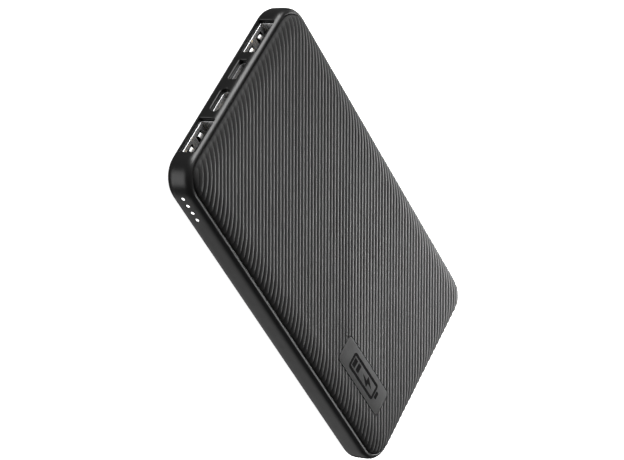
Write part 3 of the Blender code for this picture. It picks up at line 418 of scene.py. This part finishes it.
# Same plated sheet as the connector shell, given a lighter colour as a painted highlight, so that the curled
# finger tips read brighter.
SPRING_STEEL_PAINTED_HIGHLIGHT = plated_steel("spring_steel_painted_highlight", (0.88, 0.88, 0.88), 0.3, 0.42, (1, 0.15, 1))
SCREW_STEEL = plated_steel("screw_steel", (0.52, 0.52, 0.54), 0.3, 0.45)
NICKEL = plated_steel("nickel", (0.6, 0.58, 0.54), 0.25, 0.4, (1, 0.2, 1))
GOLD = gold_flash()
LIT_GUIDE = lit_guide(shell_high.x - GLOW_INSET)
LED_BODY = wire_skin("led_body", (0.8, 0.8, 0.7), (0.92, 0.92, 0.85))
BOARD = solder_mask()
FERRITE = pressed_powder("ferrite", (0.06, 0.06, 0.06), (0.11, 0.11, 0.11))
CERAMIC = pressed_powder("ceramic", (0.38, 0.27, 0.17), (0.5, 0.36, 0.24), 0.45)
POUCH = pouch_foil()
FOAM = soft_foam()
RED_WIRE = wire_skin("red_wire", (0.5, 0.015, 0.015), (0.62, 0.03, 0.03))
BLACK_WIRE = wire_skin("black_wire", (0.008, 0.008, 0.008), (0.016, 0.016, 0.016))

SLOT_FINISHES = {
    "case_plastic": CASE_PLASTIC,
    "cover_plastic": COVER_PLASTIC,
    "connector_steel": PORT_STEEL,
    "screw_steel": SCREW_STEEL,
    "insulator": INSULATOR_PLASTIC,
    "contact_gold": GOLD,
    "nickel": NICKEL,
    "clear_guide": LIT_GUIDE,
    "led_body": LED_BODY,
    "circuit_board": BOARD,
    "chip_epoxy": EPOXY,
    "ferrite": FERRITE,
    "ceramic": CERAMIC,
    "cell_pouch": POUCH,
    "foam_tape": FOAM,
    "red_wire": RED_WIRE,
    "black_wire": BLACK_WIRE,
}


def finish_inner_pieces():
    """Gives every solid of the frame the finish that its slot names."""
    for subpart in frame["record"]["subparts"]:
        for place in frame["nodes"][subpart["node"]].material_slots:
            place.material = SLOT_FINISHES[subpart["material_slot"]]


# ---------------------------------------------------------------- case
def flared_hole(width, height, corner, depth, steps=6):
    """A cutter that stands on the XY plane and opens out over its end, to break the hole's edge."""
    bm = plate(width, height, corner, steps)
    thicken(bm, depth - EDGE_BREAK)
    top = faces_towards(bm, Vector((0, 0, 1)))
    grow = 4 * EDGE_BREAK
    made = bmesh.ops.extrude_face_region(bm, geom=top)
    lifted = moved_verts(made)
    bmesh.ops.scale(bm, vec=((width + 2 * grow) / width, (height + 2 * grow) / height, 1), verts=lifted)
    bmesh.ops.translate(bm, verts=lifted, vec=(0, 0, grow))
    bmesh.ops.delete(bm, geom=top, context="FACES")
    return bm


def port_hole(node, corner):
    """A cutter through the port end around one connector."""
    low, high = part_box(node)
    width = high.x - low.x + 2 * PORT_CLEARANCE
    height = high.z - low.z + 2 * PORT_CLEARANCE
    depth = 2 * WALL
    bm = flared_hole(width, height, corner, depth)
    middle = (low + high) / 2
    return turned(bm, facing_port_end(middle.x, PORT_END + depth, middle.z))


def light_places():
    """The centre of each light pin, on the wall's outside."""
    guide_low, guide_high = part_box("light_guide")
    places = []
    for number in range(1, 5):
        low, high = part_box(f"level_led_{number}")
        places.append(Vector((shell_high.x, (low.y + high.y) / 2, (guide_low.z + guide_high.z) / 2)))
    return places


LIGHT_HOLE_RADIUS = 0.62 * MM
LIGHT_PIN_RADIUS = 0.54 * MM


def light_hole(place):
    """A cutter through the light side for one pin."""
    depth = 2 * WALL
    bm = flared_hole(2 * LIGHT_HOLE_RADIUS, 2 * LIGHT_HOLE_RADIUS, 0.98 * LIGHT_HOLE_RADIUS, depth, 8)
    return turned(bm, facing_light_side(place.x - depth, place.y, place.z))


BUTTON_LENGTH = 10.0 * MM
BUTTON_TALL = 3.0 * MM
BUTTON_GAP = 0.3 * MM
KEY_ROUND = 0.25 * MM
FLANGE_GAP = 0.3 * MM
FLANGE_THICKNESS = 0.8 * MM


def button_middle():
    """The centre of the key's outer face."""
    low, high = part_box("button_cap")
    return Vector((low.x, (low.y + high.y) / 2, (low.z + high.z) / 2))


def button_slot():
    """A cutter through the -X side for the key."""
    place = button_middle()
    depth = 2 * WALL
    tall = BUTTON_TALL + 2 * BUTTON_GAP
    bm = flared_hole(tall, BUTTON_LENGTH + 2 * BUTTON_GAP, 0.49 * tall, depth, 12)
    return turned(bm, facing_button_side(shell_low.x + depth, place.y, place.z))


def make_rear_shell():
    """The tray: a rounded back, a smooth rim, and openings for the ports, the lights and the key."""
    bm = slab(CASE_WIDTH, CASE_LENGTH, RIM_TOP - RIM_DROP, CORNER_RADIUS)
    crown = faces_towards(bm, Vector((0, 0, 1)))[0]
    dome(bm, crown, ellipse_steps(RIM_RUN, RIM_DROP, RIM_STEPS))
    soften(bm, edges_at(bm, 0.0), BACK_ROUND, 12)
    bmesh.ops.inset_region(bm, faces=[crown], thickness=WALL - RIM_RUN, use_even_offset=True)
    mouth = crown.edges[:]
    sunk = bmesh.ops.extrude_face_region(bm, geom=[crown])
    bmesh.ops.translate(bm, verts=moved_verts(sunk), vec=(0, 0, FLOOR_THICKNESS - RIM_TOP))
    bmesh.ops.delete(bm, geom=[crown], context="FACES")
    soften(bm, mouth, RIM_FILLET, 3)
    floor_edges = edges_at(bm, FLOOR_THICKNESS)
    soften(bm, floor_edges, BACK_ROUND - FLOOR_THICKNESS, 4)
    shell = finished(bm, "shell", CASE_PLASTIC)
    holes = [
        port_hole("usb_a_shell_1", 0.6 * MM),
        port_hole("usb_a_shell_2", 0.6 * MM),
        port_hole("micro_usb_shell", 0.5 * MM),
        port_hole("usb_c_shell", 1.75 * MM),
        button_slot(),
        *[light_hole(place) for place in light_places()],
    ]
    carve(shell, merged(*holes))
    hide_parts("rear_shell")


def ellipse_steps(run, rise, count, turn=math.pi / 2):
    """Steps in and up from an edge along an ellipse, as far as this turn."""
    angles = [turn * step / count for step in range(1, count + 1)]
    return [(run * (1 - math.cos(angle)), rise * math.sin(angle)) for angle in angles]


def crown_steps(rise):
    """Steps up the cover: its tight edge first, then a slope that eases off to the flat face."""
    steps = ellipse_steps(EDGE_RUN, EDGE_RISE, EDGE_STEPS, EDGE_TURN)
    edge_run, edge_rise = steps[-1]
    for step in range(1, CROWN_STEPS + 1):
        share = step / CROWN_STEPS
        climb = (rise - edge_rise) * (1 - (1 - share) ** 2)
        steps.append((edge_run + CROWN_RUN * share, edge_rise + climb))
    return steps


def dome(bm, face, steps):
    """Insets and lifts a flat face by these steps in and up, so that its edge rounds off."""
    done_run = done_rise = 0.0
    for run, rise in steps:
        bmesh.ops.inset_region(
            bm, faces=[face], thickness=run - done_run, use_boundary=True, use_even_offset=True
        )
        bmesh.ops.translate(bm, verts=face.verts, vec=(0, 0, rise - done_rise))
        done_run, done_rise = run, rise


def domed_sheet(width, length, corner, edge, steps):
    """A sheet that rises from its edge at this height to a flat middle."""
    bm = plate(width, length, corner)
    bmesh.ops.translate(bm, verts=bm.verts, vec=(0, 0, edge))
    dome(bm, bm.faces[:][0], steps)
    return bm


def drop_skirt(bm, bottom):
    """Closes a domed sheet with straight sides down to this height and a flat underside."""
    rim = [e for e in bm.edges if e.is_boundary]
    made = bmesh.ops.extrude_edge_only(bm, edges=rim)
    lowered = moved_verts(made)
    for vert in lowered:
        vert.co.z = bottom
    bmesh.ops.contextual_create(bm, geom=[e for e in bm.edges if e.is_boundary])
    return bm


def rib_height(share):
    """Height of the ribs over one pitch, from 0 in the valley to 1 on the crest."""
    return math.sin(math.pi * share) ** RIB_ROUNDNESS


def press_ribs(bm):
    """Cuts the sheet along every rib and sinks the valleys between them."""
    across = Vector((1, -1, 0)).normalized()
    reach = (COVER_WIDTH + COVER_LENGTH) / 2 / math.sqrt(2)
    count = math.ceil(reach / RIB_PITCH) + 1
    for rib in range(-count, count):
        for knot in RIB_KNOTS:
            along = RIB_PHASE + (rib + knot) * RIB_PITCH
            if abs(along) < reach:
                geometry = bm.verts[:] + bm.edges[:] + bm.faces[:]
                bmesh.ops.bisect_plane(
                    bm, geom=geometry, dist=1e-7, plane_co=across * along, plane_no=across
                )
    bm.normal_update()
    sinks = []
    for vert in bm.verts:
        share = ((vert.co.dot(across) - RIB_PHASE) / RIB_PITCH) % 1.0
        fade = min(1.0, max(0.0, (RIB_GONE - (FACE_TOP - vert.co.z)) / (RIB_GONE - RIB_FULL)))
        sinks.append(vert.normal * (-RIB_DEPTH * fade * (1 - rib_height(share))))
    for vert, sink in zip(bm.verts, sinks):
        vert.co += sink


def panel_middle():
    """The middle of the smooth panel on the cover's face."""
    x = CASE_WIDTH / 2 - PANEL_FROM_SIDE - PANEL_WIDTH / 2
    y = CASE_LENGTH / 2 - PANEL_FROM_END - PANEL_LENGTH / 2
    return Vector((x, y, FACE_TOP))


def make_cover():
    """The ribbed cover with its skirt, hollow underneath, with a pocket for the panel."""
    bm = domed_sheet(COVER_WIDTH, COVER_LENGTH, COVER_CORNER, COVER_EDGE, crown_steps(FACE_TOP - COVER_EDGE))
    press_ribs(bm)
    drop_skirt(bm, SKIRT_BOTTOM)
    cover = finished(bm, "ribbed_cover", COVER_PLASTIC, sharp=50)
    hollow_edge = COVER_EDGE - COVER_SKIN / 2
    below_skirt = SKIRT_BOTTOM - 1 * MM
    hollow = domed_sheet(
        COVER_WIDTH - 2 * COVER_SKIN,
        COVER_LENGTH - 2 * COVER_SKIN,
        COVER_CORNER - COVER_SKIN,
        hollow_edge,
        ellipse_steps(HOLLOW_RUN, FACE_TOP - COVER_SKIN - hollow_edge, HOLLOW_STEPS),
    )
    drop_skirt(hollow, below_skirt)
    usb_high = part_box("usb_a_shell_2")[1]
    relief = slab(
        2 * (usb_high.x + RELIEF_GAP), usb_high.y - PORT_END, usb_high.z + RELIEF_GAP - below_skirt
    )
    turned(relief, Matrix.Translation((0, (usb_high.y + PORT_END) / 2, below_skirt)))
    carve(cover, hollow, 50)
    carve(cover, relief, 50)
    pocket = slab(PANEL_WIDTH + 2 * PANEL_GAP, PANEL_LENGTH + 2 * PANEL_GAP, 2 * PANEL_DEPTH, PANEL_CORNER, 8)
    turned(pocket, Matrix.Translation(panel_middle() - Vector((0, 0, PANEL_DEPTH))))
    carve(cover, pocket, 50)
    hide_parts("front_cover")


def make_panel():
    """The smooth panel, set just below the crests of the ribs."""
    bm = slab(PANEL_WIDTH, PANEL_LENGTH, PANEL_DEPTH - PANEL_SHY, PANEL_CORNER, 10)
    soften(bm, edges_at(bm, PANEL_DEPTH - PANEL_SHY), 0.1 * MM, 3)
    turned(bm, Matrix.Translation(panel_middle() - Vector((0, 0, PANEL_DEPTH))))
    finished(bm, "panel", PANEL_PLASTIC_PAINTED_SHADE)


def hollowed(bm, line):
    """Leaves only a frame of this width of a flat face."""
    face = bm.faces[:][0]
    bmesh.ops.inset_region(bm, faces=[face], thickness=line, use_boundary=True, use_even_offset=True)
    bmesh.ops.delete(bm, geom=[face], context="FACES")
    return bm


def bolt_plate(length, width):
    """A flat lightning bolt along Y: two leaning triangles that share their middle."""
    points = (
        (0.12, 0.5),
        (-0.5, -0.08),
        (-0.02, -0.08),
        (-0.12, -0.5),
        (0.5, 0.08),
        (0.02, 0.08),
    )
    bm = bmesh.new()
    bm.faces.new([bm.verts.new((x * width, y * length, 0)) for x, y in points])
    return bm


SIGN_LENGTH = 18.0 * MM
SIGN_WIDTH = 5.8 * MM
SIGN_LINE = 0.95 * MM
SIGN_RELIEF = 0.035 * MM
TERMINAL_LENGTH = 1.4 * MM
TERMINAL_WIDTH = 2.4 * MM
BAR_WIDTH = 1.9 * MM


def make_panel_sign():
    """A plain battery pictogram: a case outline with its terminal, a bolt and two charge bars."""
    outline = hollowed(plate(SIGN_WIDTH, SIGN_LENGTH, 1.1 * MM, 8), SIGN_LINE)
    terminal = plate(TERMINAL_WIDTH, TERMINAL_LENGTH, 0.35 * MM, 4)
    turned(terminal, Matrix.Translation((0, SIGN_LENGTH / 2 + TERMINAL_LENGTH / 2 + 0.35 * MM, 0)))
    bolt = bolt_plate(7.2 * MM, 3.3 * MM)
    turned(bolt, Matrix.Translation((0, 3.0 * MM, 0)))
    bars = []
    for index in range(2):
        bar = plate(SIGN_WIDTH - 2 * SIGN_LINE - 1.1 * MM, BAR_WIDTH, 0.25 * MM, 4)
        y = -SIGN_LENGTH / 2 + SIGN_LINE + 1.35 * MM + index * (BAR_WIDTH + 0.8 * MM)
        bars.append(turned(bar, Matrix.Translation((0, y, 0))))
    bm = merged(outline, terminal, bolt, *bars)
    thicken(bm, SIGN_RELIEF)
    middle = panel_middle()
    turned(bm, Matrix.Translation((middle.x, middle.y, middle.z - PANEL_SHY)))
    finished(bm, "battery_sign", MARK_INK)


# ---------------------------------------------------------------- connectors
def tube(width, height, corner, length, steps=8, lip=0.13 * MM):
    """A sheet-metal tube that stands on the XY plane, with the edges of its upper mouth broken."""
    bm = hollowed(plate(width, height, corner, steps), SHEET)
    thicken(bm, length)
    mouth = [e for e in edges_at(bm, length) if e.calc_face_angle(0) > 1.0]
    soften(bm, mouth, lip, 3)
    return bm


def block_between(low, high):
    """A box between two corners."""
    low, high = Vector(low), Vector(high)
    size = high - low
    bm = slab(size.x, size.y, size.z)
    middle = (low + high) / 2
    return turned(bm, Matrix.Translation((middle.x, middle.y, low.z)))


SPRING_WIDTH = 1.8 * MM
SPRING_OFFSET = 2.9 * MM
SPRING_LENGTH = 5.0 * MM
WINDOW_WIDTH = 3.1 * MM
WINDOW_LENGTH = 5.5 * MM
WINDOW_SETBACK = 1.35 * MM
SPRING_REACH = 0.78 * MM
SPRING_STEPS = 14
SPRING_TIP = 0.8  # the share of its length at which the finger curls back
BLADE_WIDTH = 11.1 * MM
BLADE_THICKNESS = 1.84 * MM
BLOCK_DEPTH = 3.0 * MM
OVERLAP = 0.2 * MM
SMALL_BLOCK_DEPTH = 1.8 * MM


def spring_finger(middle, window_front, sheet_z, inward):
    """A bent finger: it leaves the back of its window, leans into the socket and curls out at its tip."""
    bm = bmesh.new()
    bmesh.ops.create_grid(bm, x_segments=1, y_segments=SPRING_STEPS, size=0.5)
    bmesh.ops.scale(bm, vec=(SPRING_WIDTH, SPRING_LENGTH, 1), verts=bm.verts)
    back = window_front + WINDOW_LENGTH
    for vert in bm.verts:
        share = 0.5 - vert.co.y / SPRING_LENGTH
        lean = math.sin(min(share / SPRING_TIP, 1.0) * math.pi / 2)
        curl = max(0.0, (share - SPRING_TIP) / (1 - SPRING_TIP))
        taper = 1.0 - 0.18 * share
        rise = SPRING_REACH * (lean**1.6) * (1 - 0.75 * curl**2)
        vert.co = Vector((middle + vert.co.x * taper, back - share * SPRING_LENGTH, sheet_z + inward * rise))
    bmesh.ops.solidify(bm, geom=bm.faces[:], thickness=0.2 * MM)
    return bm


def make_usb_a(number):
    """One USB-A socket: the folded shell with four windows and fingers, the tongue and its contacts."""
    low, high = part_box(f"usb_a_shell_{number}")
    middle = (low + high) / 2
    width, height, length = high.x - low.x, high.z - low.z, high.y - low.y
    bm = tube(width, height, 0.55 * MM, length)
    turned(bm, facing_port_end(middle.x, high.y, middle.z))
    shell = finished(bm, f"usb_a_case_{number}", PORT_STEEL)
    front = low.y + WINDOW_SETBACK
    windows, fingers = [], []
    for sheet_z, inward in ((low.z + SHEET / 2, 1), (high.z - SHEET / 2, -1)):
        for side in (-1, 1):
            x = middle.x + side * SPRING_OFFSET
            corner_low = (x - WINDOW_WIDTH / 2, front, sheet_z - SHEET)
            corner_high = (x + WINDOW_WIDTH / 2, front + WINDOW_LENGTH, sheet_z + SHEET)
            windows.append(block_between(corner_low, corner_high))
            fingers.append(spring_finger(x, front, sheet_z, inward))
    carve(shell, merged(*windows))
    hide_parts(f"usb_a_shell_{number}")
    finished(merged(*fingers), f"usb_a_fingers_{number}", SPRING_STEEL_PAINTED_HIGHLIGHT)
    make_usb_a_tongue(number, middle.x)


def make_usb_a_tongue(number, x):
    """The insulator: a block at the back and a blade with a bevelled nose, and its four contacts."""
    low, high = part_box(f"usb_a_tongue_{number}")
    contact_low, contact_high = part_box(f"usb_a_contact_{number}_1")
    blade_bottom = contact_high.z + 0.1 * MM
    block_front = high.y - BLOCK_DEPTH
    block = block_between((low.x, block_front, low.z), high)
    soften(block, block.edges[:], 0.12 * MM, 2)
    blade = block_between(
        (x - BLADE_WIDTH / 2, low.y, blade_bottom),
        (x + BLADE_WIDTH / 2, block_front + OVERLAP, blade_bottom + BLADE_THICKNESS),
    )
    nose = [e for e in blade.edges if all(v.co.y < low.y + 1e-6 for v in e.verts)]
    soften(blade, nose, 0.3 * MM, 3)
    tongue = finished(merged(block, blade), f"usb_a_insulator_{number}", INSULATOR_PLASTIC)
    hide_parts(f"usb_a_tongue_{number}")
    strips = []
    for index in range(1, 5):
        strip_low, strip_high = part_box(f"usb_a_contact_{number}_{index}")
        strips.append(contact_strip(strip_low, strip_high))
    contacts = finished(merged(*strips), f"usb_a_contacts_{number}", GOLD)
    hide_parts(*[f"usb_a_contact_{number}_{index}" for index in range(1, 5)])


def contact_strip(low, high):
    """A flat contact whose front is bent up in a soft bump."""
    steps = 12
    width, length = high.x - low.x, high.y - low.y
    bm = bmesh.new()
    bmesh.ops.create_grid(bm, x_segments=1, y_segments=steps, size=0.5)
    bmesh.ops.scale(bm, vec=(width, length, 1), verts=bm.verts)
    for vert in bm.verts:
        share = vert.co.y / length + 0.5
        bump = math.exp(-(((share - 0.22) / 0.12) ** 2))
        vert.co.z = high.z - 0.05 * MM - 0.28 * MM * bump
        vert.co.x += (low.x + high.x) / 2
        vert.co.y += (low.y + high.y) / 2
    bmesh.ops.solidify(bm, geom=bm.faces[:], thickness=0.12 * MM)
    return bm


def pad_row(x, y_front, z, count, pitch, size):
    """A row of thin contact pads on a small connector's blade."""
    pads = []
    for index in range(count):
        pad_x = x + (index - (count - 1) / 2) * pitch
        low = (pad_x - size[0] / 2, y_front, z - size[2] / 2)
        pads.append(block_between(low, (pad_x + size[0] / 2, y_front + size[1], z + size[2] / 2)))
    return pads


def make_usb_c():
    """The USB-C socket: an oval drawn shell and a thin blade with pads on both faces."""
    low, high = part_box("usb_c_shell")
    middle = (low + high) / 2
    width, height, length = high.x - low.x, high.z - low.z, high.y - low.y
    bm = tube(width, height, 0.492 * height, length, 16, 0.1 * MM)
    turned(bm, facing_port_end(middle.x, high.y, middle.z))
    shell = finished(bm, "usb_c_case", PORT_STEEL)
    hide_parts("usb_c_shell")
    tongue_low, tongue_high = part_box("usb_c_tongue")
    blade_half, blade_tall = 3.345 * MM, 0.7 * MM
    block_width, block_tall = tongue_high.x - tongue_low.x, tongue_high.z - tongue_low.z
    block = slab(block_width, block_tall, SMALL_BLOCK_DEPTH, 0.9 * MM, 8)
    turned(block, facing_port_end(middle.x, tongue_high.y, middle.z))
    blade = block_between(
        (middle.x - blade_half, tongue_low.y, middle.z - blade_tall / 2),
        (middle.x + blade_half, tongue_high.y - SMALL_BLOCK_DEPTH + OVERLAP, middle.z + blade_tall / 2),
    )
    nose = [e for e in blade.edges if all(v.co.y < tongue_low.y + 1e-6 for v in e.verts)]
    soften(blade, nose, 0.2 * MM, 3)
    tongue = finished(merged(block, blade), "usb_c_insulator", INSULATOR_PLASTIC)
    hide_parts("usb_c_tongue")
    pad = (0.27 * MM, 2.6 * MM, 0.06 * MM)
    pads = []
    for side in (-1, 1):
        z = middle.z + side * blade_tall / 2
        pads += pad_row(middle.x, tongue_low.y + 0.5 * MM, z, 12, 0.5 * MM, pad)
    finished(merged(*pads), "usb_c_pads", GOLD)


def keyed_plate(width, height, chamfer):
    """The micro-USB outline: a rectangle with its two lower corners cut off."""
    bm = plate(width, height)
    lower = [v for v in bm.verts if v.co.y < 0]
    bmesh.ops.bevel(
        bm, geom=lower, offset=chamfer, segments=1, profile=0.5, affect="VERTICES", material=-1
    )
    return bm


def make_micro_usb():
    """The micro-USB socket: a keyed shell with rounded corners, and a blade with five pads."""
    low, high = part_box("micro_usb_shell")
    middle = (low + high) / 2
    width, height, length = high.x - low.x, high.z - low.z, high.y - low.y
    bm = keyed_plate(width, height, 1.0 * MM)
    bmesh.ops.bevel(
        bm, geom=bm.verts[:], offset=0.25 * MM, segments=4, profile=0.5, affect="VERTICES", material=-1
    )
    thicken(hollowed(bm, SHEET), length)
    turned(bm, facing_port_end(middle.x, high.y, middle.z))
    shell = finished(bm, "micro_usb_case", PORT_STEEL)
    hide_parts("micro_usb_shell")
    tongue_low, tongue_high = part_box("micro_usb_tongue")
    inset = tongue_low.x - low.x
    block = keyed_plate(width - 2 * inset, height - 2 * inset, 0.8 * MM)
    thicken(block, SMALL_BLOCK_DEPTH)
    turned(block, facing_port_end(middle.x, tongue_high.y, middle.z))
    blade_top = high.z - inset - 0.3 * MM
    blade = block_between(
        (middle.x - 1.85 * MM, tongue_low.y, blade_top - 0.6 * MM),
        (middle.x + 1.85 * MM, tongue_high.y - SMALL_BLOCK_DEPTH + OVERLAP, blade_top),
    )
    nose = [e for e in blade.edges if all(v.co.y < tongue_low.y + 1e-6 for v in e.verts)]
    soften(blade, nose, 0.15 * MM, 3)
    tongue = finished(merged(block, blade), "micro_usb_insulator", INSULATOR_PLASTIC)
    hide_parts("micro_usb_tongue")
    z = blade_top - 0.6 * MM
    pads = pad_row(middle.x, tongue_low.y + 0.4 * MM, z, 5, 0.65 * MM, (0.35 * MM, 2.4 * MM, 0.08 * MM))
    finished(merged(*pads), "micro_usb_pads", GOLD)


# ---------------------------------------------------------------- lights and key
def make_light_guide():
    """The clear bar behind the wall, with four round-ended pins that fill the holes."""
    low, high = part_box("light_guide")
    bar_high = Vector((low.x + 0.6 * MM, high.y, high.z))
    bar = block_between(low, bar_high)
    soften(bar, bar.edges[:], 0.1 * MM, 2)
    pins = []
    for place in light_places():
        length = high.x - low.x - 0.3 * MM
        pin = bmesh.new()
        bmesh.ops.create_cone(
            pin, cap_ends=True, segments=28, radius1=LIGHT_PIN_RADIUS, radius2=LIGHT_PIN_RADIUS, depth=length
        )
        bmesh.ops.translate(pin, verts=pin.verts, vec=(0, 0, length / 2))
        soften(pin, edges_at(pin, length), 0.2 * MM, 4)
        pins.append(turned(pin, facing_light_side(low.x + 0.3 * MM, place.y, place.z)))
    guide = finished(merged(bar, *pins), "lit_light_guide", LIT_GUIDE)
    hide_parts("light_guide")


def make_button():
    """The key with its softly rounded face, its flange and the stem to the switch."""
    low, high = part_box("button_cap")
    place = button_middle()
    flange_outer = shell_low.x + WALL + FLANGE_GAP
    flange_inner = flange_outer + FLANGE_THICKNESS
    key = slab(BUTTON_TALL, BUTTON_LENGTH, flange_outer - low.x, 0.49 * BUTTON_TALL, 12)
    soften(key, edges_at(key, flange_outer - low.x), KEY_ROUND, 5)
    turned(key, facing_button_side(flange_outer, place.y, place.z))
    flange = block_between((flange_outer - 0.02 * MM, low.y, low.z), (flange_inner, high.y, high.z))
    soften(flange, flange.edges[:], 0.15 * MM, 2)
    plunger_low, plunger_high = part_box("switch_plunger")
    stem_z = (plunger_low.z + plunger_high.z) / 2
    stem = block_between(
        (flange_inner - 0.1 * MM, place.y - 1.2 * MM, stem_z - 0.7 * MM),
        (high.x, place.y + 1.2 * MM, stem_z + 0.7 * MM),
    )
    soften(stem, stem.edges[:], 0.1 * MM, 2)
    whole = merged(key, flange, stem)
    button = finished(whole, "power_key", BUTTON_PLASTIC, body="button")
    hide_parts("button_cap")


# ---------------------------------------------------------------- studio
CAMERA_PLACE = Vector((365.795, -455.876, 422.361)) * MM
CAMERA_TURN = (-5.09905, -54.02393, 135.33628)  # degrees about X, Y and Z
CAMERA_LENS = 132.154
CAMERA_SENSOR = 36.0


def place_camera():
    """The camera, above the ports and rolled so that the pack stands on its far corner."""
    data = bpy.data.cameras.new("camera")
    data.lens = CAMERA_LENS
    data.sensor_width = CAMERA_SENSOR
    data.clip_start = 0.01
    data.clip_end = 20
    camera = bpy.data.objects.new("camera", data)
    bpy.context.scene.collection.objects.link(camera)
    camera.location = CAMERA_PLACE
    camera.rotation_euler = [math.radians(angle) for angle in CAMERA_TURN]
    bpy.context.scene.camera = camera


def softbox(name, place, side, radiance):
    """A square soft light at this place, turned to the pack."""
    data = bpy.data.lights.new(name, "AREA")
    data.shape = "SQUARE"
    data.size = side
    data.energy = radiance * math.pi * side * side
    light = bpy.data.objects.new(name, data)
    bpy.context.scene.collection.objects.link(light)
    light.location = place
    light.rotation_mode = "QUATERNION"
    light.rotation_quaternion = (Vector(LIGHT_AIM) - Vector(place)).to_track_quat("-Z", "Y")
    light.visible_camera = False


FLOOR_SIDE = 12.0
FLOOR_HEIGHT = -0.5 * MM


def lay_floor():
    """A plain white floor that keeps its own tone and throws no light back on the pack."""
    bm = plate(FLOOR_SIDE, FLOOR_SIDE)
    mesh = bpy.data.meshes.new("floor")
    bm.to_mesh(mesh)
    bm.free()
    floor = bpy.data.objects.new("floor", mesh)
    floor.location = (0, 0, FLOOR_HEIGHT)
    bpy.context.scene.collection.objects.link(floor)
    white = bpy.data.materials.new("floor_white")
    white.use_nodes = True
    shader = white.node_tree.nodes["Principled BSDF"]
    shader.inputs["Base Color"].default_value = (0.9, 0.9, 0.9, 1.0)
    shader.inputs["Roughness"].default_value = 1.0
    shader.inputs["Emission Color"].default_value = (1.0, 1.0, 1.0, 1.0)
    shader.inputs["Emission Strength"].default_value = 1.0
    mesh.materials.append(white)
    floor.visible_glossy = False
    floor.visible_diffuse = False
    floor.visible_shadow = False


WORLD_STRENGTH = 0.06
LIGHT_AIM = (0, 0, 0.01)
SOFTBOXES = (
    # name, place, side, radiance
    ("rib_light", (-0.125, 0.135, 0.11), 0.13, 16.5),
    ("top_light", (-0.714, -1.10, 0.46), 0.9, 8.5),
    ("overhead", (-0.515, -0.672, 1.116), 0.9, 0.8),
    ("corner_bounce", (0.80, -0.65, -0.75), 0.9, 2.1),
    ("edge_light", (-1.26, 0.56, 0.21), 0.9, 1.4),
    ("crest_light", (0.16, 0.86, 0.96), 0.46, 8.0),
    ("side_bounce", (0.60, 0.75, -0.70), 1.0, 0.5),
)


def light_studio():
    """A dim room, softboxes around the pack, and two below the floor in place of the light it throws back."""
    bpy.context.scene.view_settings.view_transform = "Standard"
    world = bpy.data.worlds.new("studio")
    bpy.context.scene.world = world
    world.use_nodes = True
    sky = world.node_tree.nodes["Background"]
    sky.inputs["Color"].default_value = (1.0, 1.0, 1.0, 1.0)
    sky.inputs["Strength"].default_value = WORLD_STRENGTH
    for name, place, side, radiance in SOFTBOXES:
        softbox(name, place, side, radiance)


finish_inner_pieces()
make_rear_shell()
make_cover()
make_panel()
make_panel_sign()
for port in (1, 2):
    make_usb_a(port)
make_usb_c()
make_micro_usb()
make_light_guide()
make_button()
place_camera()
lay_floor()
light_studio()

bpy.context.view_layer.update()
